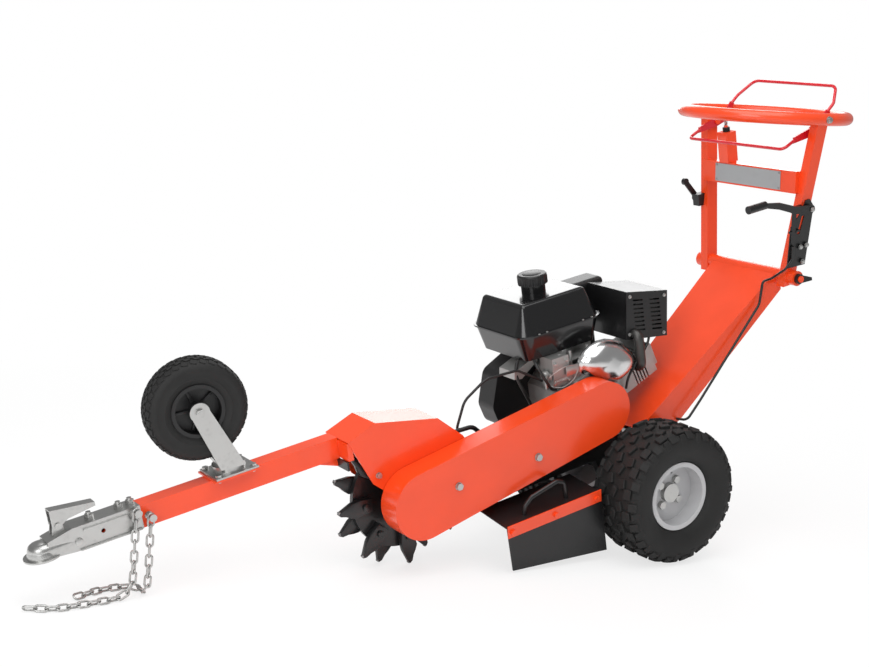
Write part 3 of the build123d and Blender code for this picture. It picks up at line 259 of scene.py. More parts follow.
CAD_FINISH = {
    "orange": ("cutter_housing", "neck_beam", "belt_cover", "tow_bar", "guard_strip", "handle_frame",
               "switch_box"),
    "black": ("main_frame", "brace_rod", "guard_plate", "rotor_bearings", "cover_backplate",
              "muffler_guard", "brake_plate", "brake_lever", "brake_link", "clamp_lever"),
    "red": ("presence_bail",),
    "zinc": ("coupler_body", "coupler_latch", "tow_bolts", "frame_bolts", "caster_plate", "caster_fork",
             "left_hub", "right_hub"),
    "chain": ("safety_chains",),
    "steel": ("cutter_shaft", "crankshaft", "clutch_pulley", "cutter_pulley"),
    "shield": ("heat_shield",),
    "soot": ("muffler",),
    "cutter": ("cutter_disc", "cutter_teeth"),
    "alloy": ("engine_crankcase", "engine_cylinder", "carburettor", "tank_bracket"),
    "rim": ("left_rim", "right_rim"),
    "tyre": ("left_tyre", "right_tyre", "caster_tyre"),
    "flap": ("guard_flap", "front_flap"),
    "belt": ("drive_belts",),
    "gloss_black": ("fuel_tank",),
    "plastic": ("air_cleaner", "fan_housing", "throttle_mount", "throttle_lever", "recoil_grip", "fuel_cap",
                "caster_rim"),
    "cable": ("frame_cables", "brake_cable_upper"),
    "plaque": ("bare_plaque",),
}


# ---- mesh helpers: everything below is drawn on the level machine, in millimetres --------------
def finish_piece(name, bm, body, finish, replaces=(), angle=35.0):
    """Closes a bmesh into a piece of the parked machine that rides on a body."""
    bmesh.ops.transform(bm, matrix=TO_ROW, verts=bm.verts)
    bmesh.ops.recalc_face_normals(bm, faces=bm.faces)
    sharp = math.radians(angle)
    for face in bm.faces:
        face.smooth = True
    for edge in bm.edges:
        edge.smooth = len(edge.link_faces) == 2 and edge.calc_face_angle(0.0) < sharp
    mesh = bpy.data.meshes.new(name)
    bm.to_mesh(mesh)
    bm.free()
    piece = bpy.data.objects.new(name, mesh)
    bpy.context.scene.collection.objects.link(piece)
    mesh.materials.append(FINISH[finish])
    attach(piece, body)
    if replaces:
        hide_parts(*replaces)


def aim(origin, direction):
    """A matrix that stands +Z along a direction at an origin."""
    return Matrix.Translation(Vector(origin)) @ Vector(direction).to_track_quat("Z", "Y").to_matrix().to_4x4()


def bevel(bm, edges, width, segments=2):
    bmesh.ops.bevel(bm, geom=edges, offset=width, offset_type="OFFSET", segments=segments, profile=0.5,
                    affect="EDGES", material=-1, clamp_overlap=True)


def add_block(bm, centre, size, matrix=None, edge=0.0, segments=2):
    """A box, with its edges rounded when an edge width is given."""
    made = bmesh.ops.create_cube(bm, size=1.0)
    place = (matrix or Matrix.Identity(4)) @ Matrix.Translation(Vector(centre))
    place = place @ Matrix.Diagonal((*size, 1.0))
    bmesh.ops.transform(bm, matrix=place, verts=made["verts"])
    if edge:
        bevel(bm, list({e for v in made["verts"] for e in v.link_edges}), edge, segments)


def add_rod(bm, start, end, radius, segments=24, edge=0.0):
    """A round rod, or a prism with few segments, with its sharp edges rounded when a width is given."""
    start, end = Vector(start), Vector(end)
    made = bmesh.ops.create_cone(bm, cap_ends=True, cap_tris=False, segments=segments, radius1=radius,
                                 radius2=radius, depth=(end - start).length,
                                 matrix=aim((start + end) / 2, end - start))
    if edge:
        edges = {e for v in made["verts"] for e in v.link_edges}
        bevel(bm, [e for e in edges if e.calc_face_angle(0) > 1.0], edge)


def add_turned(bm, outline, matrix, steps):
    """Turns a closed outline of (radius, height) points about the matrix's Z axis."""
    verts = [bm.verts.new((r, 0.0, z)) for r, z in outline]
    edges = [bm.edges.new(pair) for pair in zip(verts, verts[1:] + verts[:1])]
    made = bmesh.ops.spin(bm, geom=verts + edges, cent=(0, 0, 0), axis=(0, 0, 1), angle=math.tau,
                          steps=steps, use_merge=True)
    grown = {v for v in made["geom_last"] if isinstance(v, bmesh.types.BMVert)} | set(verts)
    reach, front = set(grown), list(grown)
    while front:
        v = front.pop()
        for e in v.link_edges:
            other = e.other_vert(v)
            if other not in reach:
                reach.add(other)
                front.append(other)
    bmesh.ops.transform(bm, matrix=matrix, verts=list(reach))


def add_hex(bm, origin, direction, across, height, washer=0.0):
    """A hexagon head standing off a face, on an optional washer."""
    origin, direction = Vector(origin), Vector(direction).normalized()
    lift = 0.0
    if washer:
        lift = 1.6
        add_rod(bm, origin, origin + direction * lift, washer, segments=24, edge=0.3)
    corner_r = across / 1.732      # from the width over the flats
    foot = origin + direction * lift
    add_rod(bm, foot, foot + direction * height, corner_r, segments=6, edge=0.7)


def loop_edges(ring):
    """The edges that join the vertices of one ring."""
    return [e for e in {e for v in ring for e in v.link_edges} if e.verts[0] in ring and e.verts[1] in ring]


def add_wire(bm, points, radius, sides=10, smooth=6):
    """A round wire along a smooth curve through given points."""
    pts = [Vector(p) for p in points]
    line = []
    for i in range(len(pts) - 1):
        before = pts[max(i - 1, 0)]
        a, b = pts[i], pts[i + 1]
        after = pts[min(i + 2, len(pts) - 1)]
        for k in range(smooth):
            t = k / smooth
            line.append(0.5 * ((2 * a) + (b - before) * t + (2 * before - 5 * a + 4 * b - after) * t * t
                               + (3 * a - before - 3 * b + after) * t ** 3))
    line.append(pts[-1])
    rings = []
    last = len(line) - 1
    for i, p in enumerate(line):
        along = (line[min(i + 1, last)] - line[max(i - 1, 0)]).normalized()
        turn = heading.rotation_difference(along) @ turn if rings else along.to_track_quat("Z", "Y")
        heading = along
        made = bmesh.ops.create_circle(bm, cap_ends=i in (0, last), segments=sides, radius=radius,
                                       matrix=Matrix.Translation(p) @ turn.to_matrix().to_4x4())
        rings.append(made["verts"])
    for a, b in zip(rings, rings[1:]):
        bmesh.ops.bridge_loops(bm, edges=loop_edges(a) + loop_edges(b))


# ---- rear tyres --------------------------------------------------------------------------------
class TreadSize(PropertyGroup):
    """Tread of the rear tyres and of the jockey wheel."""
    lugs: IntProperty(name="Lugs", description="Lug rows round a rear tyre", default=19, min=8, max=40)
    lug_depth: FloatProperty(name="Lug depth", description="Height of a lug above the carcass",
                             default=0.0095, min=0.002, max=0.02, unit="LENGTH")
    small_lugs: IntProperty(name="Small lugs", description="Block rows round the jockey tyre", default=34,
                            min=12, max=60)
    small_depth: FloatProperty(name="Small lug depth", description="Depth of the jockey tyre's blocks",
                               default=0.0042, min=0.001, max=0.01, unit="LENGTH")


def carcass_outline(deep):
    """Half the rear tyre's section, as (radius, offset), from bead to crown and back inside."""
    r = WHEEL_R - deep
    outside = [(84, 61.5), (93, 61.5), (97, 66), (100, 72), (106, 78), (118, 84), (132, 87.5), (146, 88.5),
               (158, 86), (168, 80), (r - 3, 68), (r, 50), (r + 0.5, 20)]
    inside = [(r - 9, 20), (r - 9, 50), (160, 72), (142, 79), (120, 74), (100, 60), (84, 50)]
    right = outside + [(r + 0.5, -20)]
    ring = right + [(a, -b) for a, b in reversed(outside[:-1])]
    return ring + [(a, -b) for a, b in reversed(inside)] + inside


def add_lug(bm, wheel, angle, offset, size, tilt=0.0, skew=0.0, top=0.0):
    """One tread block at an angle round the wheel; size is across, round, deep."""
    place = wheel @ Matrix.Rotation(angle, 4, "Z")
    place = place @ Matrix.Translation((WHEEL_R - top - size[2] / 2, 0, offset))
    place = place @ Matrix.Rotation(tilt, 4, "Y") @ Matrix.Rotation(skew, 4, "X")
    add_block(bm, (0, 0, 0), (size[2], size[1], size[0]), place, edge=1.6, segments=1)


def rear_tyre(side, name, tread):
    bm = bmesh.new()
    wheel = Matrix.Translation((0, side * abs(TYRE_Y), 0)) @ Matrix.Rotation(-math.pi / 2, 4, "X")
    deep = tread.lug_depth / MM
    add_turned(bm, carcass_outline(deep), wheel, steps=72)
    pitch = math.tau / tread.lugs
    for i in range(tread.lugs):
        a = i * pitch
        add_lug(bm, wheel, a, 11.5, (17, 27, deep + 5), skew=0.35, top=0.7)
        add_lug(bm, wheel, a + pitch / 2, -11.5, (17, 27, deep + 5), skew=-0.35, top=0.7)
        for s in (-1, 1):
            b = a if s > 0 else a + pitch / 2
            add_lug(bm, wheel, b + pitch * 0.42, s * 36, (21, 25, deep + 6), skew=-s * 0.3, top=1.2)
            add_lug(bm, wheel, b + pitch * 0.05, s * 60, (22, 27, deep + 8), tilt=-s * 0.28, top=3.6)
            add_lug(bm, wheel, b + pitch * 0.5, s * 73, (24, 22, deep + 8), tilt=-s * 0.75, top=11)
            add_lug(bm, wheel, b + pitch * 0.05, s * 81, (26, 17, 7), tilt=-s * 1.22, top=20)
    tyre = name.replace("_tread", "")
    finish_piece(name, bm, tyre.replace("tyre", "wheel"), "tyre", (tyre,))


class GRINDER_OT_rear_tyres(Operator):
    """Moulds the knobbly tread of both rear tyres and their valves"""
    bl_idname = "grinder.rear_tyres"
    bl_label = "Rear tyres"

    def execute(self, context):
        tread = context.scene.grinder_tread
        for side, name in ((-1, "left_tyre_tread"), (1, "right_tyre_tread")):
            rear_tyre(side, name, tread)
            bm = bmesh.new()
            y = side * abs(TYRE_Y)
            add_rod(bm, (0, y + side * 14, 76), (0, y + side * 42, 62), 3.6, segments=16, edge=0.8)
            hand = name.split("_")[0]
            finish_piece(hand + "_valve", bm, hand + "_wheel", "plastic")
        return {"FINISHED"}


# ---- jockey wheel ------------------------------------------------------------------------------
class GRINDER_OT_jockey_tyre(Operator):
    """Moulds the jockey wheel's block tread and its rim's ribs"""
    bl_idname = "grinder.jockey_tyre"
    bl_label = "Jockey tyre"

    def execute(self, context):
        tread = context.scene.grinder_tread
        wheel = aim(CASTER, CASTER_AXIS)
        deep = tread.small_depth / MM
        r = CASTER_R
        ribs = 5
        half = [(60.2, 30.5), (66, 30.5), (70, 33), (76, 36.5), (80, 37.8), (82, 36.8), (98, 38.2), (100, 39),
                (103, 38.4), (110, 36), (r - deep - 3, 30), (r - deep, 22), (r - deep + 0.4, 8)]
        bm = bmesh.new()
        add_turned(bm, half + [(a, -b) for a, b in reversed(half)], wheel, steps=72)
        pitch = math.tau / tread.small_lugs
        for i in range(tread.small_lugs):
            for k, offset in enumerate((-26, -13.2, 0, 13.2, 26)):
                a = (i + 0.5 * (k % 2)) * pitch
                edge_row = abs(offset) > 20
                top = 3.4 if edge_row else 0.4
                size = (12.5 if edge_row else 9.5, 15.5, deep + 4)
                place = wheel @ Matrix.Rotation(a, 4, "Z")
                place = place @ Matrix.Translation((r - top - size[2] / 2, 0, offset))
                place = place @ Matrix.Rotation(-0.4 * offset / 26 if edge_row else 0, 4, "Y")
                place = place @ Matrix.Rotation(0.3 * (1 if k % 2 else -1), 4, "X")
                add_block(bm, (0, 0, 0), (size[2], size[1], size[0]), place, edge=0.9, segments=1)
        finish_piece("jockey_tyre_tread", bm, "caster_wheel", "tyre", ("caster_tyre",))
        bm = bmesh.new()
        for s in (-1, 1):
            for i in range(ribs):
                place = wheel @ Matrix.Rotation(math.tau * i / ribs, 4, "Z")
                add_block(bm, (36, 0, s * 11), (36, 7, 8), place, edge=1.2)
        finish_piece("jockey_rim_ribs", bm, "caster_wheel", "plastic")
        return {"FINISHED"}


# ---- engine trim -------------------------------------------------------------------------------
def crankcase_cover(bm):
    """Bolted side cover round the crankshaft with ribs and a rim."""
    cx, cz = SIDE_COVER
    bolt_circle = 69
    face = aim((cx, CASE_NEAR, cz), (0, -1, 0))
    add_turned(bm, [(60, 0), (78, 0), (78, 5), (74, 7), (62, 7), (60, 5)], face, steps=48)
    for i in range(8):
        t = math.tau * (i + 0.4) / 8
        x, z = cx + bolt_circle * math.cos(t), cz + bolt_circle * math.sin(t)
        if z < 322 and x > -140:
            add_hex(bm, (x, CASE_NEAR - 7, z), (0, -1, 0), 9, 4, washer=6)
    for i in range(5):
        add_block(bm, (-168 + i * 9, CASE_NEAR - 2, 270), (3, 6, 70), edge=0.8)


class GRINDER_OT_engine_castings(Operator):
    """Adds ribs, bosses and covers to the engine's alloy castings"""
    bl_idname = "grinder.engine_castings"
    bl_label = "Engine castings"

    def execute(self, context):
        bm = bmesh.new()
        crankcase_cover(bm)
        for i in range(7):
            add_block(bm, (-140 + i * 20, CASE_NEAR - 1, 336), (5, 5, 16), edge=0.8)
        add_block(bm, (-120, CASE_NEAR - 3, 312), (52, 8, 22), edge=3)
        for x, radius in ((-138, 8), (-104, 6)):
            add_rod(bm, (x, CASE_NEAR, 312), (x, CASE_NEAR - 12, 312), radius, edge=1)
        add_block(bm, (-100, 20, 372), (150, 96, 6), edge=2)
        for x in (-165, -130, -70, -35):
            add_rod(bm, (x, -24, 346), (x, -24, 399), 5, edge=0.6)
        finish_piece("crankcase_castings", bm, "chassis", "alloy")

        bm = bmesh.new()
        bx, by = CARBURETTOR
        bowl = aim((bx, by, 300), (0, 0, 1))
        add_turned(bm, [(0.1, 0), (16, 0), (19, 4), (19, 18), (14, 20), (0.1, 20)], bowl, steps=32)
        add_rod(bm, (bx, by, 294), (bx, by, 300), 5, segments=6)
        add_block(bm, (bx, by - 2, 322), (42, 40, 12), edge=3)
        add_rod(bm, (-207, -20, 352), (-222, -20, 352), 13, edge=1.5)
        add_block(bm, (-212, -20, 352), (5, 46, 18), edge=2)
        finish_piece("carburettor_bowl", bm, "chassis", "alloy")

        bm = bmesh.new()
        for i, (x, z) in enumerate(((-196, 384), (-160, 386), (-204, 330), (-158, 330))):
            add_hex(bm, (x, CASE_NEAR, z), (0, -1, 0), 8, 4 + i % 2, washer=5.5)
        for x in (-225, -200, -80, -50):
            add_hex(bm, (x, -31, 471.5), (0, 0, 1), 6, 2.5)
        for x, z in ((-112, 376), (-38, 400), (44, 330), (-6, 288)):
            add_hex(bm, (x, -50, z), (0, -1, 0), 8, 4, washer=6)
        # near the corners of the muffler guard's left face, from its top front corner
        face_x, face_z, across, fall, height, lean = 62, 514, 141, 31, 130, 16
        for u, v in ((0.08, 0.1), (0.92, 0.1), (0.08, 0.9), (0.92, 0.9)):
            x = face_x + u * across - (1 - v) * lean
            z = face_z - u * fall - (1 - v) * height
            add_hex(bm, (x, -46, z), (0, -1, 0), 7, 3, washer=5)
        finish_piece("engine_screws", bm, "chassis", "zinc")
        return {"FINISHED"}


class GRINDER_OT_engine_controls(Operator):
    """Runs the governor linkage, its spring and the hoses, and adds the oil caps"""
    bl_idname = "grinder.engine_controls"
    bl_label = "Engine controls"

    def execute(self, context):
        bm = bmesh.new()
        add_wire(bm, [(-226, -40, 344), (-214, -52, 360), (-170, -56, 372), (-130, -54, 366)], 1.4)
        add_wire(bm, [(-222, -30, 330), (-190, -54, 318), (-150, -56, 330), (-128, -52, 352)], 1.3)
        coil = []
        steps_per_turn, coil_r = 6, 4
        for i in range(8 * steps_per_turn + 1):
            t = math.tau * i / steps_per_turn
            coil.append((-212 + i * 0.9, -56 + coil_r * math.cos(t), 340 + coil_r * math.sin(t)))
        add_wire(bm, coil, 0.9, sides=6, smooth=1)
        add_block(bm, (-146, -52, 356), (44, 3, 26), edge=1)
        add_block(bm, (-226, -34, 340), (6, 16, 38), edge=1.5)
        finish_piece("governor_linkage", bm, "chassis", "zinc")

        bm = bmesh.new()
        hoses = (
            (4.2, [(-236, -8, 399), (-240, -26, 384), (-232, -42, 352), (-214, -40, 320), (-190, -28, 306)]),
            (4.6, [(-262, 30, 399), (-276, 24, 360), (-262, 8, 300), (-238, 10, 240), (-222, 30, 180)]),
            (3.6, [(130, 30, 352), (140, -20, 372), (110, -52, 352), (40, -56, 290), (24, -52, 250)]),
        )
        for radius, route in hoses:
            add_wire(bm, route, radius, 12)
        finish_piece("fuel_hose", bm, "chassis", "cable")

        bm = bmesh.new()
        add_block(bm, (-185, -48, 292), (34, 6, 12), edge=2)
        add_rod(bm, (-168, CASE_NEAR, 216), (-168, CASE_NEAR - 14, 212), 12, edge=1.5)
        add_block(bm, (-168, CASE_NEAR - 17, 211), (22, 7, 7), edge=2)
        add_rod(bm, (-20, CASE_NEAR, 190), (-20, CASE_NEAR - 8, 190), 9, segments=6, edge=1)
        finish_piece("oil_caps", bm, "chassis", "plastic")
        return {"FINISHED"}


class GRINDER_OT_starter(Operator):
    """Adds the recoil starter's louvres and the filler cap's grips"""
    bl_idname = "grinder.starter"
    bl_label = "Starter and cap"

    def execute(self, context):
        bm = bmesh.new()
        slots, slot_circle = 18, 46
        hub = aim((CRANK.x, STARTER_FACE, CRANK.z), (0, 1, 0))
        add_turned(bm, [(0.1, 0), (26, 0), (26, 4), (20, 7), (0.1, 7)], hub, steps=40)
        for i in range(slots):
            t = math.tau * i / slots
            x, z = CRANK.x + slot_circle * math.cos(t), CRANK.z + slot_circle * math.sin(t)
            if z > 204:
                place = Matrix.Translation((x, STARTER_FACE + 1, z)) @ Matrix.Rotation(-t, 4, "Y")
                add_block(bm, (0, 0, 0), (26, 4, 6), place, edge=1.2)
        finish_piece("starter_louvres", bm, "chassis", "plastic")
        bm = bmesh.new()
        grip_circle = 38.2
        for i in range(12):
            t = math.radians(30 * i + 15)
            x, y = CAP.x + grip_circle * math.cos(t), CAP.y + grip_circle * math.sin(t)
            add_rod(bm, (x, y, CAP.z + 2), (x, y, CAP.z + 22), 3.2, segments=12, edge=0.8)
        crown = [(0.1, 25), (24, 25), (26, 28.5), (22, 30), (0.1, 30)]
        add_turned(bm, crown, Matrix.Translation(CAP), steps=40)
        finish_piece("cap_grips", bm, "cap", "plastic")
        return {"FINISHED"}


# ---- heat shield, cutter teeth and coupler -----------------------------------------------------
class GRINDER_OT_heat_shield(Operator):
    """Presses the domed heat shield beside the cylinder"""
    bl_idname = "grinder.heat_shield"
    bl_label = "Heat shield"

    def execute(self, context):
        # the rim's outline in x and z, and how the dome's rings shrink and rise from it
        rim = [(-130, 352), (-124, 376), (-108, 392), (-84, 404), (-56, 410), (-28, 408), (0, 398), (24, 384),
               (44, 362), (60, 340), (64, 322), (54, 304), (38, 291), (14, 282), (-10, 278), (-34, 284),
               (-58, 294), (-78, 306), (-100, 322), (-118, 338)]
        rings = [(1.0, 0.0), (1.0, 3.0), (0.93, 5.0), (0.88, 15.0), (0.8, 25.0), (0.66, 33.0), (0.48, 38.0),
                 (0.24, 40.5)]
        cx, cz = SHIELD_AT
        wave = 3.0                 # unevenness of the pressed dome
        bm = bmesh.new()
        loops = []
        for scale, rise in rings:
            loop = []
            for i, (x, z) in enumerate(rim):
                y = SHIELD_Y - rise - wave * math.sin(i * 0.9) * (1 - scale)
                loop.append(bm.verts.new((cx + (x - cx) * scale, y, cz + (z - cz) * scale)))
            loops.append(loop)
        for lower, upper in zip(loops, loops[1:]):
            for i in range(len(rim)):
                j = (i + 1) % len(rim)
                bm.faces.new((lower[i], lower[j], upper[j], upper[i]))
        bm.faces.new(loops[-1])
        bm.faces.new(list(reversed(loops[0])))
        finish_piece("heat_shield_dome", bm, "chassis", "shield", ("heat_shield",), 50.0)
        return {"FINISHED"}


def add_claw(bm, place, side, near):
    """One tooth on the disc's face; it thins from its shoulder to its point."""
    # the outline as radius and distance along the rim
    claw = [(94, -18), (128, -21), (150, -18), (168, -11), (186, -4), (189, 1), (183, 8), (168, 12),
            (155, 19), (141, 24), (122, 19), (94, 16)]
    shoulder, taper_length, lost = 128, 62, 0.45
    inner, outer = [], []
    for r, t in claw:
        thin = 1.0 - lost * max(0.0, (r - shoulder) / taper_length)
        low = near + side * TOOTH_T / 2 * (1 - thin) - ROTOR.y
        high = near + side * TOOTH_T * (0.5 + thin / 2) - ROTOR.y
        inner.append(bm.verts.new(place @ Vector((r, low, t))))
        outer.append(bm.verts.new(place @ Vector((r, high, t))))
    faces = [bm.faces.new(inner), bm.faces.new(outer)]
    for a in range(len(claw)):
        b = (a + 1) % len(claw)
        faces.append(bm.faces.new((inner[a], inner[b], outer[b], outer[a])))
    bmesh.ops.recalc_face_normals(bm, faces=faces)
    bevel(bm, list({e for f in faces[:2] for e in f.edges}), 2.2)


class GRINDER_OT_cutter_teeth(Operator):
    """Forges the sixteen clawed cutter teeth with their bolts and carbide tips"""
    bl_idname = "grinder.cutter_teeth"
    bl_label = "Cutter teeth"

    def execute(self, context):
        forged, tips, bolts = bmesh.new(), bmesh.new(), bmesh.new()
        step = math.tau / TEETH_PER_SIDE
        for side in (-1, 1):
            near = DISC_Y + side * DISC_T / 2
            for i in range(TEETH_PER_SIDE):
                angle = math.radians(90.0) + NOSE_DOWN + side * step / 4 + i * step
                place = Matrix.Translation(ROTOR) @ Matrix.Rotation(angle, 4, "Y")
                add_claw(forged, place, side, near)
                tip = (183, near + side * TOOTH_T / 2 - ROTOR.y, -1)
                add_block(tips, tip, (10, 11, 8), place, edge=1.0, segments=1)
                head = place @ Vector((114, near + side * TOOTH_T - ROTOR.y, 0))
                add_hex(bolts, head, (0, side, 0), 16, 6)
        finish_piece("forged_teeth", forged, "cutter", "cutter", ("cutter_teeth",))
        finish_piece("carbide_tips", tips, "cutter", "carbide")
        finish_piece("tooth_bolts", bolts, "cutter", "cutter")
        return {"FINISHED"}


class GRINDER_OT_coupler_trim(Operator):
    """Adds the coupler's rolled lower lips, side beads and end bosses"""
    bl_idname = "grinder.coupler_trim"
    bl_label = "Coupler trim"

    def execute(self, context):
        bm = bmesh.new()
        for side in (-1, 1):
            y = COUPLER_Y + side * (COUPLER_HALF + 2)
            add_block(bm, (-1446, y, 327), (150, 7, 5), edge=2)
            add_block(bm, (-1440, y - side * 1.0, 371), (132, 4, 7), edge=1.8)
            add_rod(bm, (-1520, y - side * 2, 347), (-1520, y + side * 2, 347), 9, edge=1.2)
        finish_piece("coupler_beads", bm, "chassis", "zinc")
        return {"FINISHED"}


# ---- handle trim -------------------------------------------------------------------------------
def on_bracket(x, out, z):
    """A point of the brake bracket, which leans outwards with the left leg."""
    rise = z - LEG_BASE
    return Vector((x, -LEG_OUTER - out * math.cos(SPLAY) - rise * math.sin(SPLAY),
                   LEG_BASE - out * math.sin(SPLAY) + rise * math.cos(SPLAY)))


class GRINDER_OT_handle_trim(Operator):
    """Adds the switch's spring and boot, the plaque's rivets, the throttle cable and the bolts"""
    bl_idname = "grinder.handle_trim"
    bl_label = "Handle trim"

    def execute(self, context):
        bm = bmesh.new()
        sx, sy = SWITCH
        steps_per_turn, spring_r, rise = 8, 4.6, 0.36
        turns = []
        for i in range(7 * steps_per_turn):
            t = i * math.tau / steps_per_turn
            turns.append((sx + spring_r * math.cos(t), sy + spring_r * math.sin(t), 852 + i * rise))
        add_wire(bm, turns, 0.9, sides=6, smooth=1)
        finish_piece("switch_spring", bm, "handle", "steel")
        bm = bmesh.new()
        pleats, pleat = 5, 2.6
        for i in range(pleats):
            boot = Matrix.Translation((sx, sy, 834 + i * pleat))
            add_turned(bm, [(0.1, 0), (9.4, 0), (10.8, 1.3), (9.4, pleat), (0.1, pleat)], boot, steps=32)
        finish_piece("switch_boot", bm, "handle", "plastic")
        bm = bmesh.new()
        for y in (-124, 124):
            for x, z in ((570.6, 737), (565.2, 696)):
                add_rod(bm, (x, y, z), (x - 2, y, z + 0.3), 3, segments=16, edge=0.6)
        finish_piece("plaque_rivets", bm, "handle", "steel")
        bm = bmesh.new()
        add_wire(bm, [(566, 186, 616), (560, 186, 590), (566, 184, 540), (566, 178, 486)], 3.0, 12)
        finish_piece("throttle_cable", bm, "handle", "cable")
        bm = bmesh.new()
        for s in (-1, 1):
            add_hex(bm, (RING_END[0], s * RING_END[1], RING_END[2]), (0, s, 0), 15, 6, washer=10)
        # the bracket's three bolts and the brake lever's pivot, as x, height off the leg and z
        for x, out, z in ((566, 8.0, 538), (589, 8.0, 538), (577, 8.0, 492), (595, 18.0, 643)):
            outward = on_bracket(x, 9.0, z) - on_bracket(x, 8.0, z)
            add_hex(bm, on_bracket(x, out, z), outward, 11, 4, washer=7)
        finish_piece("handle_bolts", bm, "handle", "zinc")
        return {"FINISHED"}


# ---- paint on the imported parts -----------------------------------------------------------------
class GRINDER_OT_paint(Operator):
    """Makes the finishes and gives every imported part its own"""
    bl_idname = "grinder.paint"
    bl_label = "Paint and metal"

    def execute(self, context):
        make_finishes(context.scene.grinder_finish)
        painted = set()
        for finish, names in CAD_FINISH.items():
            for name in names:
                mesh = NODES[name].data
                mesh.materials.clear()
                mesh.materials.append(FINISH[finish])
                painted.add(name)
        left = sorted(set(NODES) - painted)
        if left:
            raise RuntimeError(f"no finish for {left}")
        return {"FINISHED"}


# ---- stage -------------------------------------------------------------------------------------
class StageLook(PropertyGroup):
    """Studio floor, lamps and camera."""
    floor: FloatVectorProperty(name="Floor", description="Colour of the studio floor", size=3,
                               subtype="COLOR", default=(0.9, 0.9, 0.9), min=0, max=1)
    pool: FloatProperty(name="Pool", description="Radius in which the floor shows shadows", default=1.3,
                        min=0.1, unit="LENGTH")
    key: FloatProperty(name="Key lamp", description="Power of the large overhead lamp", default=78.0, min=0,
                       unit="POWER")
    fill: FloatProperty(name="Fill lamp", description="Power of the lamp beside the camera", default=62.0,
                        min=0, unit="POWER")
    sky: FloatProperty(name="Sky", description="Strength of the plain surrounding light", default=0.55, min=0)
    gleam: FloatProperty(name="Gleam", description="Strength of the surrounding light in reflections",
                         default=0.3, min=0)
    lens: FloatProperty(name="Lens", description="Focal length", default=63.49, min=10, unit="CAMERA")
    heading: FloatProperty(name="Heading", description="Camera's turn from +Y towards +X",
                           default=math.radians(33.448), subtype="ANGLE")
    dip: FloatProperty(name="Dip", description="Camera's tilt below level", default=math.radians(9.743),
                       subtype="ANGLE")
    roll: FloatProperty(name="Roll", description="Camera's roll, clockwise as it looks",
                        default=math.radians(4.618), subtype="ANGLE")


CAMERA_FROM_AXLE = Vector((-2.7421, -3.1786, 1.0609))      # metres
FLOOR_HALF = 14.0


def stage_floor(look):
    """A matt floor that shows the machine's shadow near it and glows plain white further out."""
    bm = bmesh.new()
    bmesh.ops.create_grid(bm, x_segments=1, y_segments=1, size=FLOOR_HALF)
    mesh = bpy.data.meshes.new("studio_floor")
    bm.to_mesh(mesh)
    bm.free()
    floor = bpy.data.objects.new("studio_floor", mesh)
    bpy.context.scene.collection.objects.link(floor)
    mat, tree, bsdf = shader_tree("studio floor")
    bsdf.inputs["Base Color"].default_value = (*look.floor, 1)
    bsdf.inputs["Roughness"].default_value = 0.9
    path = tree.nodes.new("ShaderNodeLightPath")
    coord = tree.nodes.new("ShaderNodeTexCoord")
    reach = tree.nodes.new("ShaderNodeVectorMath")
    reach.operation = "LENGTH"
    tree.links.new(coord.outputs["Object"], reach.inputs[0])
    fade = tree.nodes.new("ShaderNodeMapRange")
    fade.inputs["From Min"].default_value = look.pool
    fade.inputs["From Max"].default_value = 2.0 * look.pool
    fade.inputs["To Min"].default_value = 0.72
    fade.inputs["To Max"].default_value = 1.0
    tree.links.new(reach.outputs["Value"], fade.inputs["Value"])
    share = tree.nodes.new("ShaderNodeMath")
    share.operation = "MULTIPLY"
    tree.links.new(path.outputs["Is Camera Ray"], share.inputs[0])
    tree.links.new(fade.outputs["Result"], share.inputs[1])
    glow = tree.nodes.new("ShaderNodeEmission")
    glow.inputs["Color"].default_value = (1, 1, 1, 1)
    mix = tree.nodes.new("ShaderNodeMixShader")
    tree.links.new(share.outputs[0], mix.inputs[0])
    tree.links.new(bsdf.outputs[0], mix.inputs[1])
    tree.links.new(glow.outputs[0], mix.inputs[2])
    tree.links.new(mix.outputs[0], tree.nodes["Material Output"].inputs["Surface"])
    mesh.materials.append(mat)


def stage_sky(look):
    """Plain white to the camera, dimmer as a light and dimmer again in reflections."""
    world = bpy.data.worlds.new("studio")
    bpy.context.scene.world = world
    world.use_nodes = True
    tree = world.node_tree
    back = tree.nodes["Background"]
    back.inputs["Color"].default_value = (1, 1, 1, 1)
    path = tree.nodes.new("ShaderNodeLightPath")
    seen = tree.nodes.new("ShaderNodeMath")
    seen.operation = "MAXIMUM"
    tree.links.new(path.outputs["Is Camera Ray"], seen.inputs[0])
    tree.links.new(path.outputs["Is Transmission Ray"], seen.inputs[1])
    span = tree.nodes.new("ShaderNodeMapRange")
    span.inputs["To Min"].default_value = look.sky
    span.inputs["To Max"].default_value = 1.0
    tree.links.new(seen.outputs[0], span.inputs["Value"])
    shine = tree.nodes.new("ShaderNodeMix")
    shine.data_type = "FLOAT"
    tree.links.new(path.outputs["Is Glossy Ray"], shine.inputs["Factor"])
    tree.links.new(span.outputs["Result"], shine.inputs["A"])
    shine.inputs["B"].default_value = look.gleam
    tree.links.new(shine.outputs["Result"], back.inputs["Strength"])


def stage_lamp(name, at, target, power, size):
    data = bpy.data.lights.new(name, "AREA")
    data.energy = power
    data.size = size
    lamp = bpy.data.objects.new(name, data)
    bpy.context.scene.collection.objects.link(lamp)
    lamp.location = at
    lamp.rotation_mode = "QUATERNION"
    lamp.rotation_quaternion = (Vector(target) - Vector(at)).to_track_quat("-Z", "Y")


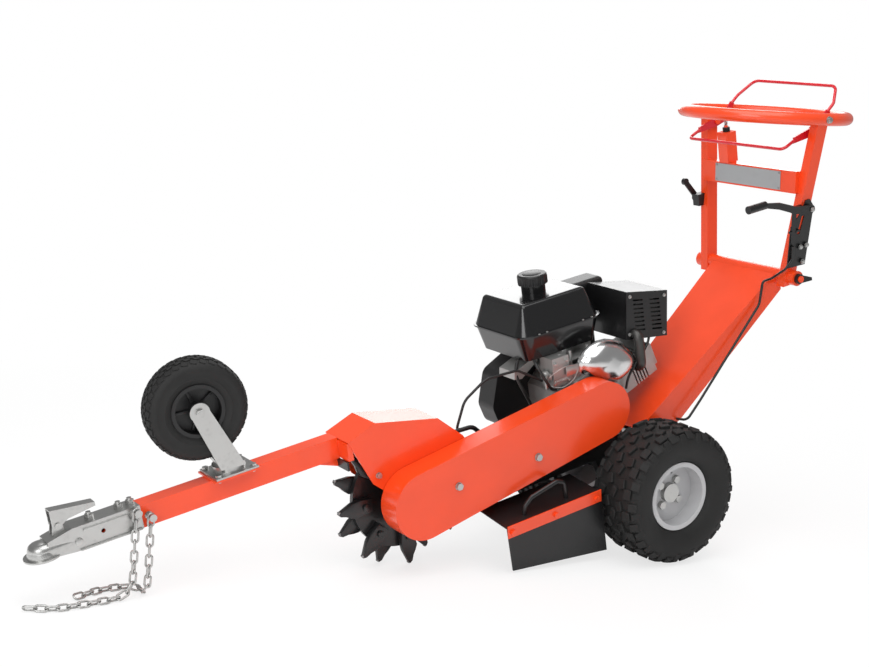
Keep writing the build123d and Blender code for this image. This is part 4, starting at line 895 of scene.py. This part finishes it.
def stage_camera(look):
    data = bpy.data.cameras.new("camera")
    data.lens = look.lens
    data.sensor_width = 36.0
    camera = bpy.data.objects.new("camera", data)
    bpy.context.scene.collection.objects.link(camera)
    h, d, r = look.heading, look.dip, look.roll
    ahead = Vector((math.sin(h) * math.cos(d), math.cos(h) * math.cos(d), -math.sin(d)))
    level_right = Vector((math.cos(h), -math.sin(h), 0))
    upward = level_right.cross(ahead)
    right = level_right * math.cos(r) + upward * math.sin(r)
    up = upward * math.cos(r) - level_right * math.sin(r)
    turn = Matrix((right, up, -ahead)).transposed().to_4x4()
    camera.matrix_world = Matrix.Translation(AXLE + CAMERA_FROM_AXLE) @ turn
    bpy.context.scene.camera = camera


class GRINDER_OT_stage(Operator):
    """Sets up the plain studio: floor, surrounding light, lamps and camera"""
    bl_idname = "grinder.stage"
    bl_label = "Studio"

    def execute(self, context):
        look = context.scene.grinder_stage
        context.scene.view_settings.view_transform = "Standard"
        stage_floor(look)
        stage_sky(look)
        stage_lamp("overhead", (-0.6, -0.8, 3.4), (0, 0, 0.3), look.key, 3.2)
        stage_lamp("beside_camera", (-3.6, -2.2, 2.0), (0, 0, 0.4), look.fill, 2.2)
        stage_lamp("behind", (2.2, 2.6, 2.2), (0, 0, 0.5), look.fill * 0.8, 2.2)
        stage_camera(look)
        return {"FINISHED"}


# ---- add-on ------------------------------------------------------------------------------------
STEPS = (GRINDER_OT_paint, GRINDER_OT_stage, GRINDER_OT_rear_tyres, GRINDER_OT_jockey_tyre,
         GRINDER_OT_engine_castings, GRINDER_OT_engine_controls, GRINDER_OT_starter, GRINDER_OT_heat_shield,
         GRINDER_OT_cutter_teeth, GRINDER_OT_coupler_trim, GRINDER_OT_handle_trim)


class GRINDER_PT_panel(Panel):
    """Lists the steps that dress the grinder"""
    bl_idname = "GRINDER_PT_panel"
    bl_label = "Stump grinder"
    bl_space_type = "VIEW_3D"
    bl_region_type = "UI"
    bl_category = "Grinder"

    def draw(self, context):
        for step in STEPS:
            self.layout.operator(step.bl_idname)


CLASSES = (GrinderFinish, TreadSize, StageLook, *STEPS, GRINDER_PT_panel)


def register():
    for cls in CLASSES:
        bpy.utils.register_class(cls)
    bpy.types.Scene.grinder_finish = PointerProperty(type=GrinderFinish)
    bpy.types.Scene.grinder_tread = PointerProperty(type=TreadSize)
    bpy.types.Scene.grinder_stage = PointerProperty(type=StageLook)


def unregister():
    del bpy.types.Scene.grinder_stage
    del bpy.types.Scene.grinder_tread
    del bpy.types.Scene.grinder_finish
    for cls in reversed(CLASSES):
        bpy.utils.unregister_class(cls)


def main():
    register()
    for step in STEPS:
        group, call = step.bl_idname.split(".")
        getattr(getattr(bpy.ops, group), call)()


if __name__ == "__main__":
    main()
